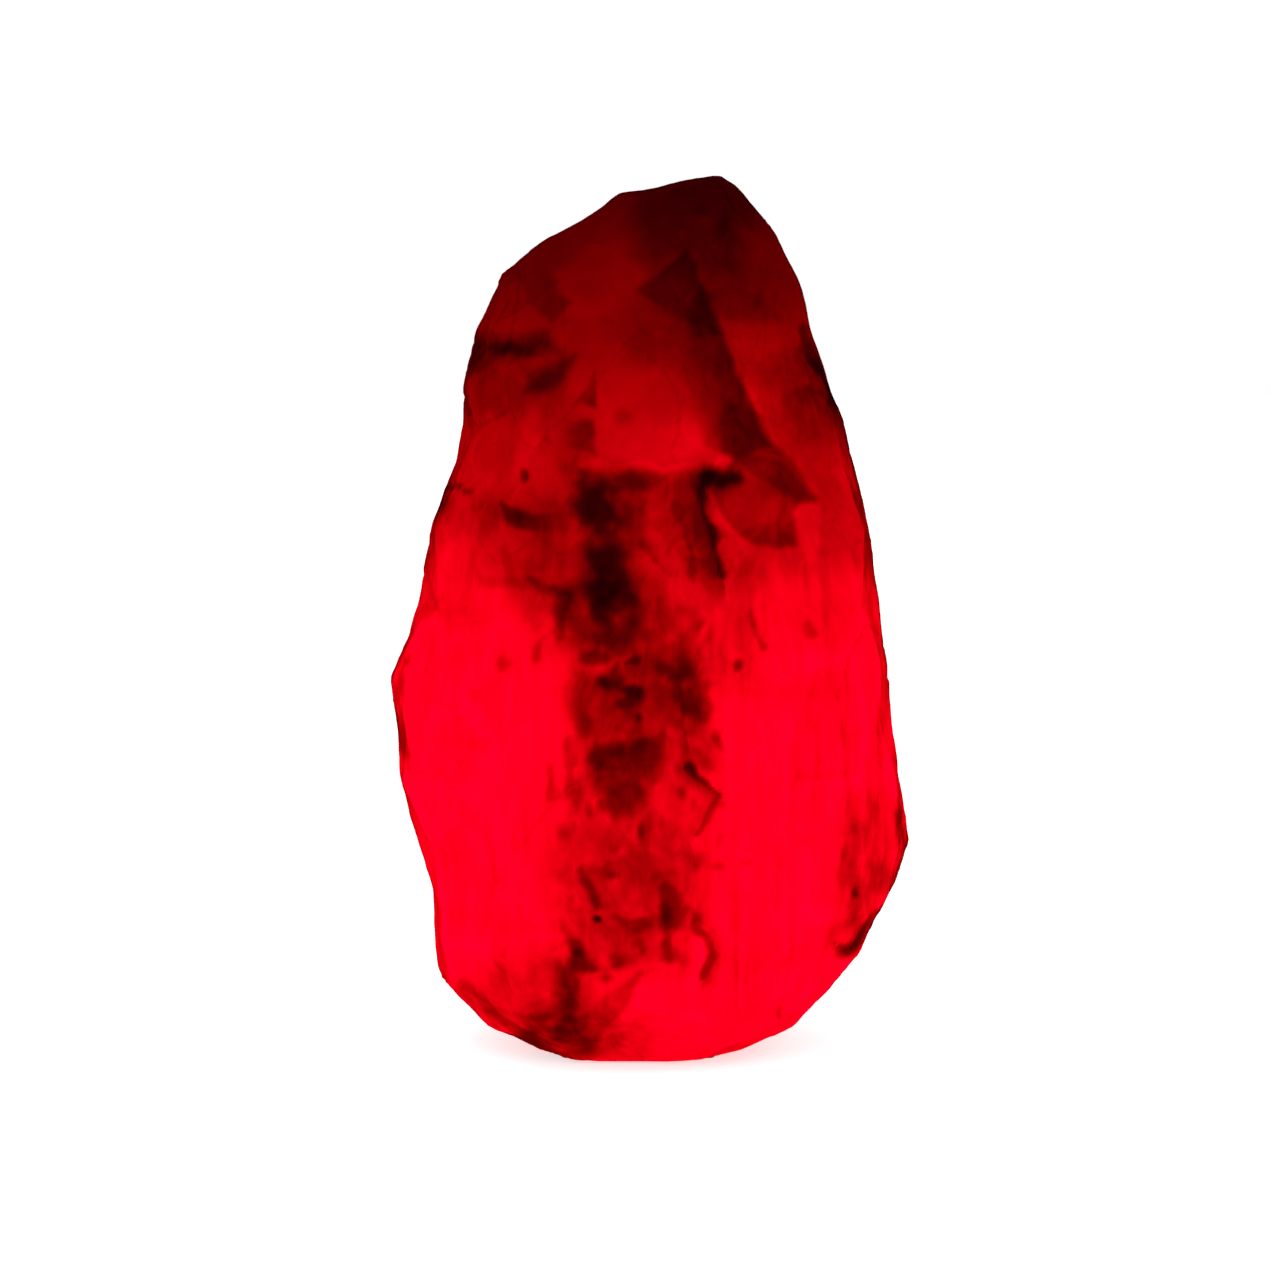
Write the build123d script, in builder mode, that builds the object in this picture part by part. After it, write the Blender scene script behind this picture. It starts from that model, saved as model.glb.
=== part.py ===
"""Salt crystal lamp: a rough block of rock salt, core-drilled from its sawn foot, with a cordless LED light
unit held in the bore by three spring clips. Millimetres, +Z up, the table at z = 0. The front faces -Y.

The origin is on the table, under the middle of the crystal. The bore and the light unit share one upright
axis, which stands a little to the left of the origin, in the middle of the sawn foot."""

from build123d import *
from math import cos, radians, sin, sqrt
import os

os.makedirs("parts", exist_ok=True)

# ------------------------------------------------ driving sizes
# Crystal: each ledge joins a left and a right corner of the front outline, (x, z) each. The last three
# numbers are the depth before the outline, the depth behind it and how far the front is lifted.
FOOT_PAD_PROUD = 0.6
SAWN_Z = FOOT_PAD_PROUD
LEDGES = [
    ((-30.0, SAWN_Z), (24.5, SAWN_Z), 28.0, 28.0, 0.0),
    ((-41.2, 7.3), (37.2, 7.3), 37.0, 36.0, 0.5),
    ((-53.5, 17.4), (47.8, 16.0), 43.5, 41.5, -1.0),
    ((-54.8, 30.0), (54.7, 27.0), 46.5, 45.0, 1.0),
    ((-54.6, 38.5), (62.2, 41.5), 48.0, 47.0, -1.5),
    ((-59.0, 52.5), (65.4, 51.0), 50.0, 49.0, 1.0),
    ((-62.8, 68.0), (62.4, 70.0), 50.5, 50.0, 2.0),
    ((-63.7, 82.5), (60.5, 83.0), 49.5, 50.0, -1.0),
    ((-65.3, 92.8), (59.9, 93.5), 48.5, 49.0, 1.5),
    ((-60.4, 103.5), (58.5, 101.5), 47.5, 48.0, 0.0),
    ((-57.5, 113.5), (57.1, 114.0), 46.0, 46.5, -2.0),
    ((-54.6, 131.0), (54.3, 131.5), 43.0, 44.0, 1.5),
    ((-48.3, 147.5), (51.2, 144.5), 40.5, 42.0, 2.5),
    ((-46.5, 156.5), (47.8, 159.0), 39.0, 40.5, -1.0),
    ((-46.3, 166.0), (43.8, 168.5), 37.0, 39.0, 1.0),
    ((-43.8, 178.5), (40.2, 179.5), 34.0, 36.0, -1.5),
    ((-37.0, 193.0), (37.3, 190.5), 28.5, 31.0, 1.0),
    ((-25.8, 202.4), (31.0, 203.3), 22.0, 25.0, 0.0),
    ((-9.2, 210.9), (23.0, 213.6), 12.5, 16.0, 0.0),
    ((3.8, 216.2), (17.3, 217.4), 5.0, 7.0, 0.0),
]
# Directions of a ledge's corners, in degrees round it from the right-hand one, and how far each one bulges.
CORNERS = [
    (0, 1.00), (30, 1.06), (57, 1.05), (90, 1.00), (124, 1.04), (151, 1.07),
    (180, 1.00), (208, 1.05), (238, 1.06), (268, 1.00), (302, 1.05), (331, 1.05),
]
# Corners wander in and out by this share from ledge to ledge, as split rock does.
CORNER_WANDER = 0.035

# Flat faces split off the block: a point on each, the way it faces (degrees round from +X towards +Y) and how
# far it leans upwards in degrees.
SPLIT_FACES = {
    "front_brow": ((6, -36.5, 160), -97, 7),
    "front_right_slope": ((32.4, -23.5, 167.7), -42, 19),
    "front_left_slope": ((-33, -25, 172), -136, 14),
    "shoulder_left": ((-27, -17, 196), -140, 42),
    "shoulder_right": ((27, -8, 203), -30, 37),
    "waist_left": ((-49, -27, 118), -152, 8),
    "waist_right": ((50, -25, 112), -28, 6),
    "belly_right": ((55, -27, 55), -31, -4),
    "heel_front": ((24, -37, 18), -62, -32),
    "toe": ((-2, -32.6, 6.9), -92, -46),
    "heel_left": ((-43, -27, 18), -142, -34),
    "back_brow": ((0, 37, 165), 96, 8),
    "back_left_slope": ((-38, 27, 150), 141, 10),
    "back_right_slope": ((38, 28, 140), 38, 9),
    "back_belly": ((-8, 47.5, 68), 94, -3),
    "back_left_belly": ((-49, 30, 60), 146, -5),
    "heel_back": ((12, 37, 15), 72, -33),
}

# Shallow round hollows: the point on the face where each is deepest, the way the face turns and leans there,
# the hollow's radius and its depth. The brow scoop and the one under it are broken out with a lip between.
# The clay hollows run down the front, where the salt is worn back round a seam of clay, and the rest are
# shell-shaped breaks in the back and the crown.
SCOOPS = {
    "crown_hollow": ((8, -27.0, 191), -80, 24, 45.0, 1.3),
    "brow_scoop": ((4, -35.5, 166.5), -97, 7, 50.0, 2.6),
    "under_lip": ((8, -39.8, 134.5), -97, 7, 70.0, 2.0),
    "lip_hollow": ((-9, -37.1, 139), -97, 7, 60.0, 1.2),
    "clay_hollow_top": ((-4, -41.2, 112), -97, 7, 140.0, 1.6),
    "clay_hollow_middle": ((-3, -45.3, 80), -97, 7, 140.0, 1.3),
    "clay_hollow_low": ((-4, -48.2, 50), -97, -2, 120.0, 1.2),
    "shoulder_break": ((33.0, 28.0, 164), 34, 6, 90.0, 1.8),
    "back_left_break": ((-41.5, 33.5, 110.5), 143, 10, 120.0, 1.8),
    "crown_break": ((-9, 22.0, 203), 108, 55, 50.0, 1.6),
    "crown_right_break": ((6.5, 14.5, 212.5), 84, 49, 40.0, 1.2),
    "nape_break": ((5.5, 29.8, 190.5), 105, 25, 80.0, 1.4),
    "back_belly_break": ((-5, 48.0, 73), 95, -3, 120.0, 1.5),
    "heel_right_break": ((25, 43.0, 38), 80, -15, 80.0, 1.3),
    "heel_left_break": ((-13, 43.5, 29), 100, -12, 80.0, 1.2),
}

# Light unit: the place of its axis and the fits between its pieces
AXIS_X = -3.0
FACE_GAP = 0.3
SLIP_GAP = 0.15
PILOT_GAP = 0.02

# Battery cell, a standard 18650, with its contacts and the hexagonal column round it
CELL_RADIUS = 9.2
CELL_LENGTH = 65.0
CELL_NUB_RADIUS = 3.0
CELL_NUB_HEIGHT = 0.8
CELL_SIDE_GAP = 0.7
CELL_LIFT = 2.0
CONTACT_INSET = 1.9
CONTACT_THICKNESS = 0.5
COLUMN_WALL = 2.1
COLUMN_POCKET_DEPTH = 2.5
COLUMN_POCKET_GAP = 0.1
COLUMN_PLUG_HEIGHT = 2.4
FOOT_HEIGHT = 7.0
SPRING_FLOOR_THICKNESS = 1.5
SPRING_WIRE_RADIUS = 0.35
SPRING_INSET = 4.9
SPRING_TURNS = 3

# LEDs on six strips along the column and on the board over it
STRIP_WIDTH = 8.0
STRIP_THICKNESS = 0.3
STRIP_END_MARGIN = 1.0
LED_SIDE = 5.0
LED_HEIGHT = 1.6
LED_PITCH = 10.6
LED_WINDOW_RADIUS = 1.9
LED_WINDOW_DEPTH = 0.3
LEDS_PER_STRIP = 6
TOP_LED_COUNT = 5
TOP_LED_GAP = 0.6
TOP_BOARD_THICKNESS = 1.6
TOP_BOARD_OVERHANG = 1.0
TOP_SCREW_RADIUS = 0.8
TOP_SCREW_LENGTH = 5.0
TOP_SCREW_WALL = 0.5
TOP_SCREW_HEAD_RADIUS = 1.5
TOP_SCREW_HEAD_HEIGHT = 0.9
TOP_SCREW_ANGLES = (30, 150, 270)

# Leads beside the column and the diffuser round them
LEAD_RADIUS = 0.55
LEAD_BEND_RADIUS = 1.6
LEAD_RUN_IN = 1.2
LEAD_COLUMN_GAP = 0.5
LEAD_WALL_GAP = 0.15
LEAD_ANGLES = (90, 210)
DIFFUSER_WALL = 1.4
SHOULDER_DROP = 1.4
GASKET_THICKNESS = 0.8

# Spring clips between the diffuser and the bore
CLIP_WIDTH = 5.0
CLIP_THICKNESS = 0.4
CLIP_HEIGHT = 36.0
CLIP_STUB = 2.0
CLIP_BOW = 0.9
CLIP_FOOT_DEPTH = 1.0
CLIP_WALL_GAP = 0.4
CLIP_ANGLES = (0, 120, 240)

# Bore and seat in the crystal, and the rubber pads it stands on
BORE_END_GAP = 3.0
SEAT_SIDE_GAP = 0.6
PAD_RADIUS = 1.9
PAD_HEIGHT = 2.0
PAD_SEAT_GAP = 0.1
PAD_SEAT_WALL = 1.1
PAD_ANGLES = (45, 135, 225, 315)

# Base plate with its spigot, posts and snap lugs
PLATE_LAP = 1.5
PLATE_THICKNESS = 3.4
PLATE_LIFT = 1.4
PLATE_EDGE_ROUND = 0.6
SPIGOT_WALL = 1.5
LUG_WIDTH = 5.0
LUG_HEIGHT = 1.8
LUG_PROUD = 1.0
LUG_UP = 2.6
LUG_WINDOW_GAP = 0.25
LUG_ANGLES = (60, 180, 300)
BOARD_STANDOFF = 5.2
BOARD_THICKNESS = 1.2
POST_RADIUS = 2.3
POST_INSET = 1.7
POST_ANGLES = (21, 159, 201, 339)
SCREW_RADIUS = 1.25
SCREW_LENGTH = 11.5
SCREW_HEAD_RADIUS = 2.3
SCREW_HEAD_HEIGHT = 1.4
SCREW_HEAD_RECESS = 0.3
SCREW_SLOT_WIDTH = 0.7
SCREW_SLOT_DEPTH = 0.7

# Power button over its switch
BUTTON_RADIUS = 4.2
BUTTON_SIDE_GAP = 0.3
BUTTON_WALL_GAP = 0.5
BUTTON_PROUD = 0.4
BUTTON_RIM_WIDTH = 0.9
BUTTON_RIM_THICKNESS = 0.8
BUTTON_RIM_GAP = 0.1
BUTTON_DISH_DEPTH = 0.35
SWITCH_SIDE = 6.0
SWITCH_TRAVEL_ROOM = 0.7
PLUNGER_RADIUS = 1.7
PLUNGER_PROUD = 0.9
PLUNGER_GRIP = 0.8

# Charging socket, a standard USB-C receptacle, behind a hinged flap
SOCKET_Y = 6.6
SOCKET_WIDTH = 8.94
SOCKET_DEPTH = 3.26
SOCKET_WALL = 0.3
SOCKET_FLOOR = 1.2
TONGUE_WIDTH = 6.7
TONGUE_THICKNESS = 0.7
TONGUE_INSET = 0.6
FLAP_WIDTH = 12.4
FLAP_LENGTH = 7.0
FLAP_THICKNESS = 1.0
FLAP_SIDE_GAP = 0.4
FLAP_NOTCH_RADIUS = 2.2
FLAP_PIN_RADIUS = 0.6
FLAP_PIN_GAP = 0.06
FLAP_PIN_GRIP = 1.0
FLAP_KNUCKLE_WALL = 0.55

# Light pipe over the charging light, and the chips beside it: each chip's place across and along the board,
# then its width, length and height
PIPE_ANGLE = -52
PIPE_RADIUS = 0.9
PIPE_WALL_GAP = 0.8
INDICATOR_WIDTH = 1.6
INDICATOR_LENGTH = 0.8
INDICATOR_HEIGHT = 0.6
CHIPS = [
    (-5.2, 0.6, 3.0, 3.0, 0.9),
    (5.2, 0.6, 3.0, 3.0, 0.9),
    (0.0, -0.6, 4.0, 4.0, 2.1),
    (-7.4, -4.6, 2.0, 1.3, 1.2),
    (-7.4, -7.4, 2.0, 1.3, 1.2),
]

# Pull ring, a half hoop of wire in a groove under the plate
RING_WIRE_RADIUS = 0.6
RING_EDGE_MARGIN = 3.4
RING_INSET = 0.4
RING_GROOVE_GAP = 0.3
RING_ROOF_GAP = 0.3
RING_EYE_LENGTH = 0.5
RING_PIVOT_RADIUS = 0.4
RING_PIVOT_LENGTH = 2.2
RING_PIVOT_GAP = 0.06

# ------------------------------------------------ radii and heights that follow
HEX_SIDES = 6
HEX_FLAT_ANGLES = [360 / HEX_SIDES * side for side in range(HEX_SIDES)]
COLUMN_BORE_RADIUS = CELL_RADIUS + CELL_SIDE_GAP
COLUMN_FLAT = COLUMN_BORE_RADIUS + COLUMN_WALL
COLUMN_CORNER = COLUMN_FLAT / cos(radians(180 / HEX_SIDES))
CONTACT_RADIUS = COLUMN_BORE_RADIUS - CONTACT_INSET
SPRING_RADIUS = COLUMN_BORE_RADIUS - SPRING_INSET
LEAD_CIRCLE_RADIUS = COLUMN_CORNER + LEAD_COLUMN_GAP + LEAD_RADIUS
DIFFUSER_INNER = LEAD_CIRCLE_RADIUS + LEAD_RADIUS + LEAD_WALL_GAP
DIFFUSER_RADIUS = DIFFUSER_INNER + DIFFUSER_WALL
CLIP_INNER = DIFFUSER_RADIUS + FACE_GAP
CLIP_OUTER = CLIP_INNER + CLIP_THICKNESS
BORE_RADIUS = CLIP_OUTER + CLIP_BOW + CLIP_WALL_GAP
PLATE_RADIUS = BORE_RADIUS + PLATE_LAP
SEAT_RADIUS = PLATE_RADIUS + SEAT_SIDE_GAP
PAD_CIRCLE_RADIUS = SEAT_RADIUS + PAD_SEAT_WALL + PAD_SEAT_GAP + PAD_RADIUS
SPIGOT_RADIUS = DIFFUSER_INNER - SLIP_GAP
SPIGOT_INNER = SPIGOT_RADIUS - SPIGOT_WALL
POST_CIRCLE_RADIUS = SPIGOT_INNER - POST_INSET
SCREW_POINTS = [
    (POST_CIRCLE_RADIUS * cos(radians(angle)), POST_CIRCLE_RADIUS * sin(radians(angle)))
    for angle in POST_ANGLES
]
BUTTON_Y = BUTTON_WALL_GAP + BUTTON_RIM_WIDTH + BUTTON_RADIUS - SPIGOT_INNER
PIPE_CIRCLE_RADIUS = SPIGOT_INNER - PIPE_WALL_GAP - PIPE_RADIUS
PIPE_X = PIPE_CIRCLE_RADIUS * cos(radians(PIPE_ANGLE))
PIPE_Y = PIPE_CIRCLE_RADIUS * sin(radians(PIPE_ANGLE))
TOP_BOARD_RADIUS = COLUMN_FLAT + TOP_BOARD_OVERHANG
TOP_SCREW_CIRCLE_RADIUS = COLUMN_BORE_RADIUS + TOP_SCREW_WALL + TOP_SCREW_RADIUS
TOP_LED_CIRCLE_RADIUS = TOP_SCREW_CIRCLE_RADIUS - TOP_SCREW_HEAD_RADIUS - TOP_LED_GAP - LED_SIDE / 2
RING_RADIUS = PLATE_RADIUS - RING_EDGE_MARGIN
PLATE_TOP = PLATE_LIFT + PLATE_THICKNESS
SEAT_Z = PLATE_TOP + FACE_GAP
BOARD_BOTTOM = PLATE_TOP + BOARD_STANDOFF
BOARD_TOP = BOARD_BOTTOM + BOARD_THICKNESS
FOOT_TOP = BOARD_TOP + FOOT_HEIGHT
COLUMN_BOTTOM = FOOT_TOP - COLUMN_POCKET_DEPTH
SPRING_FLOOR = BOARD_TOP + SPRING_FLOOR_THICKNESS
CELL_BOTTOM = COLUMN_BOTTOM + CELL_LIFT
CELL_TIP = CELL_BOTTOM + CELL_LENGTH + CELL_NUB_HEIGHT
COLUMN_TOP = CELL_TIP + CONTACT_THICKNESS + COLUMN_PLUG_HEIGHT
TOP_BOARD_TOP = COLUMN_TOP + TOP_BOARD_THICKNESS
DIFFUSER_BOTTOM = PLATE_TOP + GASKET_THICKNESS
DIFFUSER_SHOULDER = TOP_BOARD_TOP - SHOULDER_DROP
BORE_TOP = DIFFUSER_SHOULDER + DIFFUSER_RADIUS + BORE_END_GAP
LUG_Z = DIFFUSER_BOTTOM + LUG_UP
SCREW_SEAT_Z = PLATE_LIFT + SCREW_HEAD_RECESS + SCREW_HEAD_HEIGHT
BUTTON_RIM_Z = PLATE_TOP + BUTTON_RIM_GAP
BUTTON_TOP = BUTTON_RIM_Z + BUTTON_RIM_THICKNESS
SWITCH_BOTTOM = BUTTON_TOP + PLUNGER_PROUD
FLAP_RECESS_DEPTH = FLAP_THICKNESS + FACE_GAP
FLAP_KNUCKLE_RADIUS = FLAP_PIN_RADIUS + FLAP_KNUCKLE_WALL
FLAP_PIN_Y = SOCKET_Y + FLAP_LENGTH / 2
FLAP_PIN_Z = PLATE_LIFT + FLAP_KNUCKLE_RADIUS
SOCKET_MOUTH = PLATE_LIFT + FLAP_RECESS_DEPTH + FACE_GAP
RING_Z = PLATE_LIFT + RING_INSET + RING_WIRE_RADIUS
RING_GROOVE_DEPTH = RING_INSET + 2 * RING_WIRE_RADIUS + RING_ROOF_GAP


def level(z):
    """A horizontal plane on the lamp's axis, at a height above the table."""
    return Plane(origin=(AXIS_X, 0, z), x_dir=(1, 0, 0), z_dir=(0, 0, 1))


def facing(angle, radius, z):
    """An upright plane that faces away from the lamp's axis: its x runs round the axis and its y runs up."""
    turn = radians(angle)
    centre = (AXIS_X + radius * cos(turn), radius * sin(turn), z)
    return Plane(origin=centre, x_dir=(-sin(turn), cos(turn), 0), z_dir=(cos(turn), sin(turn), 0))


def upright(angle):
    """The upright plane at an angle round the axis: its x is the distance from the axis, its y the height."""
    turn = radians(angle)
    return Plane(origin=(AXIS_X, 0, 0), x_dir=(cos(turn), sin(turn), 0), z_dir=(sin(turn), -cos(turn), 0))


def crosswise(x):
    """The upright plane across X at a distance from the lamp's axis: its x is along Y, its y the height."""
    return Plane(origin=(AXIS_X + x, 0, 0), x_dir=(0, 1, 0), z_dir=(1, 0, 0))


def ledge_plane(left, right, front_depth, lift):
    """The plane through a ledge's left and right corners, tipped so that its front is lifted."""
    middle = ((left[0] + right[0]) / 2, 0, (left[1] + right[1]) / 2)
    across = Vector(right[0] - left[0], 0, right[1] - left[1]).normalized()
    backwards = Vector(0, front_depth, -lift)
    return Plane(origin=middle, x_dir=across, z_dir=across.cross(backwards))


def ledge_corners(number, left, right, front_depth, back_depth):
    """A ledge's corners in its own plane. The two on the outline stay where the outline has them."""
    half_width = sqrt((right[0] - left[0]) ** 2 + (right[1] - left[1]) ** 2) / 2
    corners = []
    for place, (angle, bulge) in enumerate(CORNERS):
        wander = 1 if angle in (0, 180) else 1 + CORNER_WANDER * sin(2.4 * number + 1.7 * place)
        depth = back_depth if angle < 180 else front_depth
        reach = bulge * wander
        corners.append((half_width * reach * cos(radians(angle)), depth * reach * sin(radians(angle))))
    return corners


def outward_of(turned, lean):
    """The outward direction of a face that is turned and leans so far, both in degrees."""
    flat = cos(radians(lean))
    return Vector(flat * cos(radians(turned)), flat * sin(radians(turned)), sin(radians(lean)))


# ------------------------------------------------ crystal and its foot pads
with BuildPart() as salt_crystal:
    for number, (left, right, front_depth, back_depth, lift) in enumerate(LEDGES):
        with BuildSketch(ledge_plane(left, right, front_depth, lift)):
            with BuildLine():
                Polyline(*ledge_corners(number, left, right, front_depth, back_depth), close=True)
            make_face()
    loft(ruled=True)
    for point, turned, lean in SPLIT_FACES.values():
        split(bisect_by=Plane(origin=point, z_dir=outward_of(turned, lean)), keep=Keep.BOTTOM)
    for point, turned, lean, radius, depth in SCOOPS.values():
        with Locations(Vector(point) + outward_of(turned, lean) * (radius - depth)):
            Sphere(radius, mode=Mode.SUBTRACT)
    with BuildSketch(level(SAWN_Z)):
        Circle(SEAT_RADIUS)
    extrude(amount=SEAT_Z - SAWN_Z, mode=Mode.SUBTRACT)
    with BuildSketch(level(SEAT_Z)):
        Circle(BORE_RADIUS)
    extrude(amount=BORE_TOP - SEAT_Z, mode=Mode.SUBTRACT)
    with BuildSketch(level(SAWN_Z)):
        for angle in PAD_ANGLES:
            with PolarLocations(PAD_CIRCLE_RADIUS, 1, start_angle=angle):
                Circle(PAD_RADIUS + PAD_SEAT_GAP)
    extrude(amount=PAD_HEIGHT - FOOT_PAD_PROUD, mode=Mode.SUBTRACT)

with BuildPart() as foot_pads:
    with BuildSketch(level(0)):
        for angle in PAD_ANGLES:
            with PolarLocations(PAD_CIRCLE_RADIUS, 1, start_angle=angle):
                Circle(PAD_RADIUS)
    extrude(amount=PAD_HEIGHT)

# ------------------------------------------------ base plate and what holds the unit in the bore
with BuildPart() as base_plate:
    with BuildSketch(level(PLATE_LIFT)):
        Circle(PLATE_RADIUS)
    extrude(amount=PLATE_THICKNESS)
    fillet(base_plate.edges().group_by(Axis.Z)[0], PLATE_EDGE_ROUND)
    with BuildSketch(level(PLATE_TOP)):
        Circle(SPIGOT_RADIUS)
        Circle(SPIGOT_INNER, mode=Mode.SUBTRACT)
        with Locations(*SCREW_POINTS):
            Circle(POST_RADIUS)
    extrude(amount=BOARD_STANDOFF)
    # snap lugs for the diffuser's windows
    for angle in LUG_ANGLES:
        with BuildSketch(facing(angle, SPIGOT_INNER, LUG_Z)):
            Rectangle(LUG_WIDTH, LUG_HEIGHT)
        extrude(amount=SPIGOT_WALL + LUG_PROUD)
    # sunk seats and passages for the screws
    with BuildSketch(level(PLATE_LIFT)):
        with Locations(*SCREW_POINTS):
            Circle(SCREW_HEAD_RADIUS + SLIP_GAP)
    extrude(amount=SCREW_SEAT_Z - PLATE_LIFT, mode=Mode.SUBTRACT)
    with BuildSketch(level(PLATE_LIFT)):
        with Locations(*SCREW_POINTS):
            Circle(SCREW_RADIUS + SLIP_GAP)
    extrude(amount=BOARD_BOTTOM - PLATE_LIFT, mode=Mode.SUBTRACT)
    # holes for the button, the charging socket and the light pipe
    with BuildSketch(level(PLATE_LIFT)):
        with Locations((0, BUTTON_Y)):
            Circle(BUTTON_RADIUS + BUTTON_SIDE_GAP)
        with Locations((PIPE_X, PIPE_Y)):
            Circle(PIPE_RADIUS + PILOT_GAP)
        with Locations((0, SOCKET_Y)):
            SlotOverall(SOCKET_WIDTH + 2 * SLIP_GAP, SOCKET_DEPTH + 2 * SLIP_GAP)
    extrude(amount=PLATE_THICKNESS, mode=Mode.SUBTRACT)
    # recess for the flap, with a fingernail notch at its free edge
    recess_back = FLAP_PIN_Y + FLAP_KNUCKLE_RADIUS + FLAP_SIDE_GAP
    recess_length = recess_back - SOCKET_Y + FLAP_LENGTH / 2 + FLAP_SIDE_GAP
    with BuildSketch(level(PLATE_LIFT)):
        with Locations((0, recess_back)):
            Rectangle(FLAP_WIDTH + 2 * FLAP_SIDE_GAP, recess_length, align=(Align.CENTER, Align.MAX))
        with Locations((0, SOCKET_Y - FLAP_LENGTH / 2)):
            Circle(FLAP_NOTCH_RADIUS)
    extrude(amount=FLAP_RECESS_DEPTH, mode=Mode.SUBTRACT)
    with BuildSketch(crosswise(-FLAP_WIDTH / 2 - FLAP_SIDE_GAP)):
        with Locations((FLAP_PIN_Y, FLAP_PIN_Z)):
            Circle(FLAP_KNUCKLE_RADIUS + FLAP_SIDE_GAP)
    extrude(amount=FLAP_WIDTH + 2 * FLAP_SIDE_GAP, mode=Mode.SUBTRACT)
    with BuildSketch(crosswise(0)):
        with Locations((FLAP_PIN_Y, FLAP_PIN_Z)):
            Circle(FLAP_PIN_RADIUS + PILOT_GAP)
    extrude(amount=FLAP_WIDTH / 2 + FLAP_SIDE_GAP + FLAP_PIN_GRIP, both=True, mode=Mode.SUBTRACT)
    # half-round groove and pivot holes of the pull ring
    with BuildSketch(level(PLATE_LIFT)):
        Circle(RING_RADIUS + RING_WIRE_RADIUS + RING_GROOVE_GAP)
        Circle(RING_RADIUS - RING_WIRE_RADIUS - RING_GROOVE_GAP, mode=Mode.SUBTRACT)
        with Locations((0, -RING_WIRE_RADIUS - RING_GROOVE_GAP)):
            Rectangle(2 * PLATE_RADIUS, PLATE_RADIUS, align=(Align.CENTER, Align.MAX), mode=Mode.SUBTRACT)
    extrude(amount=RING_GROOVE_DEPTH, mode=Mode.SUBTRACT)
    for side in (-1, 1):
        with BuildSketch(crosswise(side * RING_RADIUS)):
            with Locations((0, RING_Z)):
                Circle(RING_PIVOT_RADIUS + RING_PIVOT_GAP)
        extrude(amount=side * (RING_PIVOT_LENGTH + FACE_GAP), mode=Mode.SUBTRACT)
    # pockets that grip the feet of the spring clips
    for angle in CLIP_ANGLES:
        with BuildSketch(facing(angle, CLIP_INNER - PILOT_GAP, PLATE_TOP)):
            Rectangle(CLIP_WIDTH + 2 * PILOT_GAP, 2 * CLIP_FOOT_DEPTH)
        extrude(amount=CLIP_THICKNESS + 2 * PILOT_GAP, mode=Mode.SUBTRACT)

with BuildPart() as base_gasket:
    with BuildSketch(level(PLATE_TOP)):
        Circle(DIFFUSER_RADIUS)
        Circle(SPIGOT_RADIUS + SLIP_GAP, mode=Mode.SUBTRACT)
    extrude(amount=GASKET_THICKNESS)

with BuildPart() as spring_clips:
    for angle in CLIP_ANGLES:
        foot = PLATE_TOP - CLIP_FOOT_DEPTH
        stub = PLATE_TOP + CLIP_STUB
        tip = PLATE_TOP + CLIP_HEIGHT
        middle = (stub + tip) / 2
        with BuildSketch(upright(angle)):
            with BuildLine():
                Line((CLIP_INNER, foot), (CLIP_INNER, stub))
                ThreePointArc((CLIP_INNER, stub), (CLIP_INNER + CLIP_BOW, middle), (CLIP_INNER, tip))
                Line((CLIP_INNER, tip), (CLIP_OUTER, tip))
                ThreePointArc((CLIP_OUTER, tip), (CLIP_OUTER + CLIP_BOW, middle), (CLIP_OUTER, stub))
                Polyline((CLIP_OUTER, stub), (CLIP_OUTER, foot), (CLIP_INNER, foot))
            make_face()
        extrude(amount=CLIP_WIDTH / 2, both=True)

with BuildPart() as base_screws:
    with BuildSketch(level(SCREW_SEAT_Z - SCREW_HEAD_HEIGHT)):
        with Locations(*SCREW_POINTS):
            Circle(SCREW_HEAD_RADIUS)
    extrude(amount=SCREW_HEAD_HEIGHT)
    with BuildSketch(level(SCREW_SEAT_Z)):
        with Locations(*SCREW_POINTS):
            Circle(SCREW_RADIUS)
    extrude(amount=SCREW_LENGTH)
    with BuildSketch(level(SCREW_SEAT_Z - SCREW_HEAD_HEIGHT)):
        with Locations(*SCREW_POINTS):
            Rectangle(2 * SCREW_HEAD_RADIUS - SCREW_SLOT_WIDTH, SCREW_SLOT_WIDTH)
            Rectangle(SCREW_SLOT_WIDTH, 2 * SCREW_HEAD_RADIUS - SCREW_SLOT_WIDTH)
    extrude(amount=SCREW_SLOT_DEPTH, mode=Mode.SUBTRACT)

with BuildPart() as pull_ring:
    with BuildSketch(Plane(origin=(AXIS_X, 0, RING_Z), x_dir=(1, 0, 0), z_dir=(0, -1, 0))):
        with Locations((RING_RADIUS, 0)):
            Circle(RING_WIRE_RADIUS)
    revolve(axis=Axis((AXIS_X, 0, RING_Z), (0, 0, 1)), revolution_arc=180)
    with BuildSketch(Plane(origin=(AXIS_X, 0, RING_Z), x_dir=(1, 0, 0), z_dir=(0, -1, 0))):
        with Locations((-RING_RADIUS, 0), (RING_RADIUS, 0)):
            Circle(RING_WIRE_RADIUS)
    extrude(amount=RING_EYE_LENGTH)
    for side in (-1, 1):
        with BuildSketch(crosswise(side * RING_RADIUS)):
            with Locations((0, RING_Z)):
                Circle(RING_PIVOT_RADIUS)
        extrude(amount=side * RING_PIVOT_LENGTH)

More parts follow.
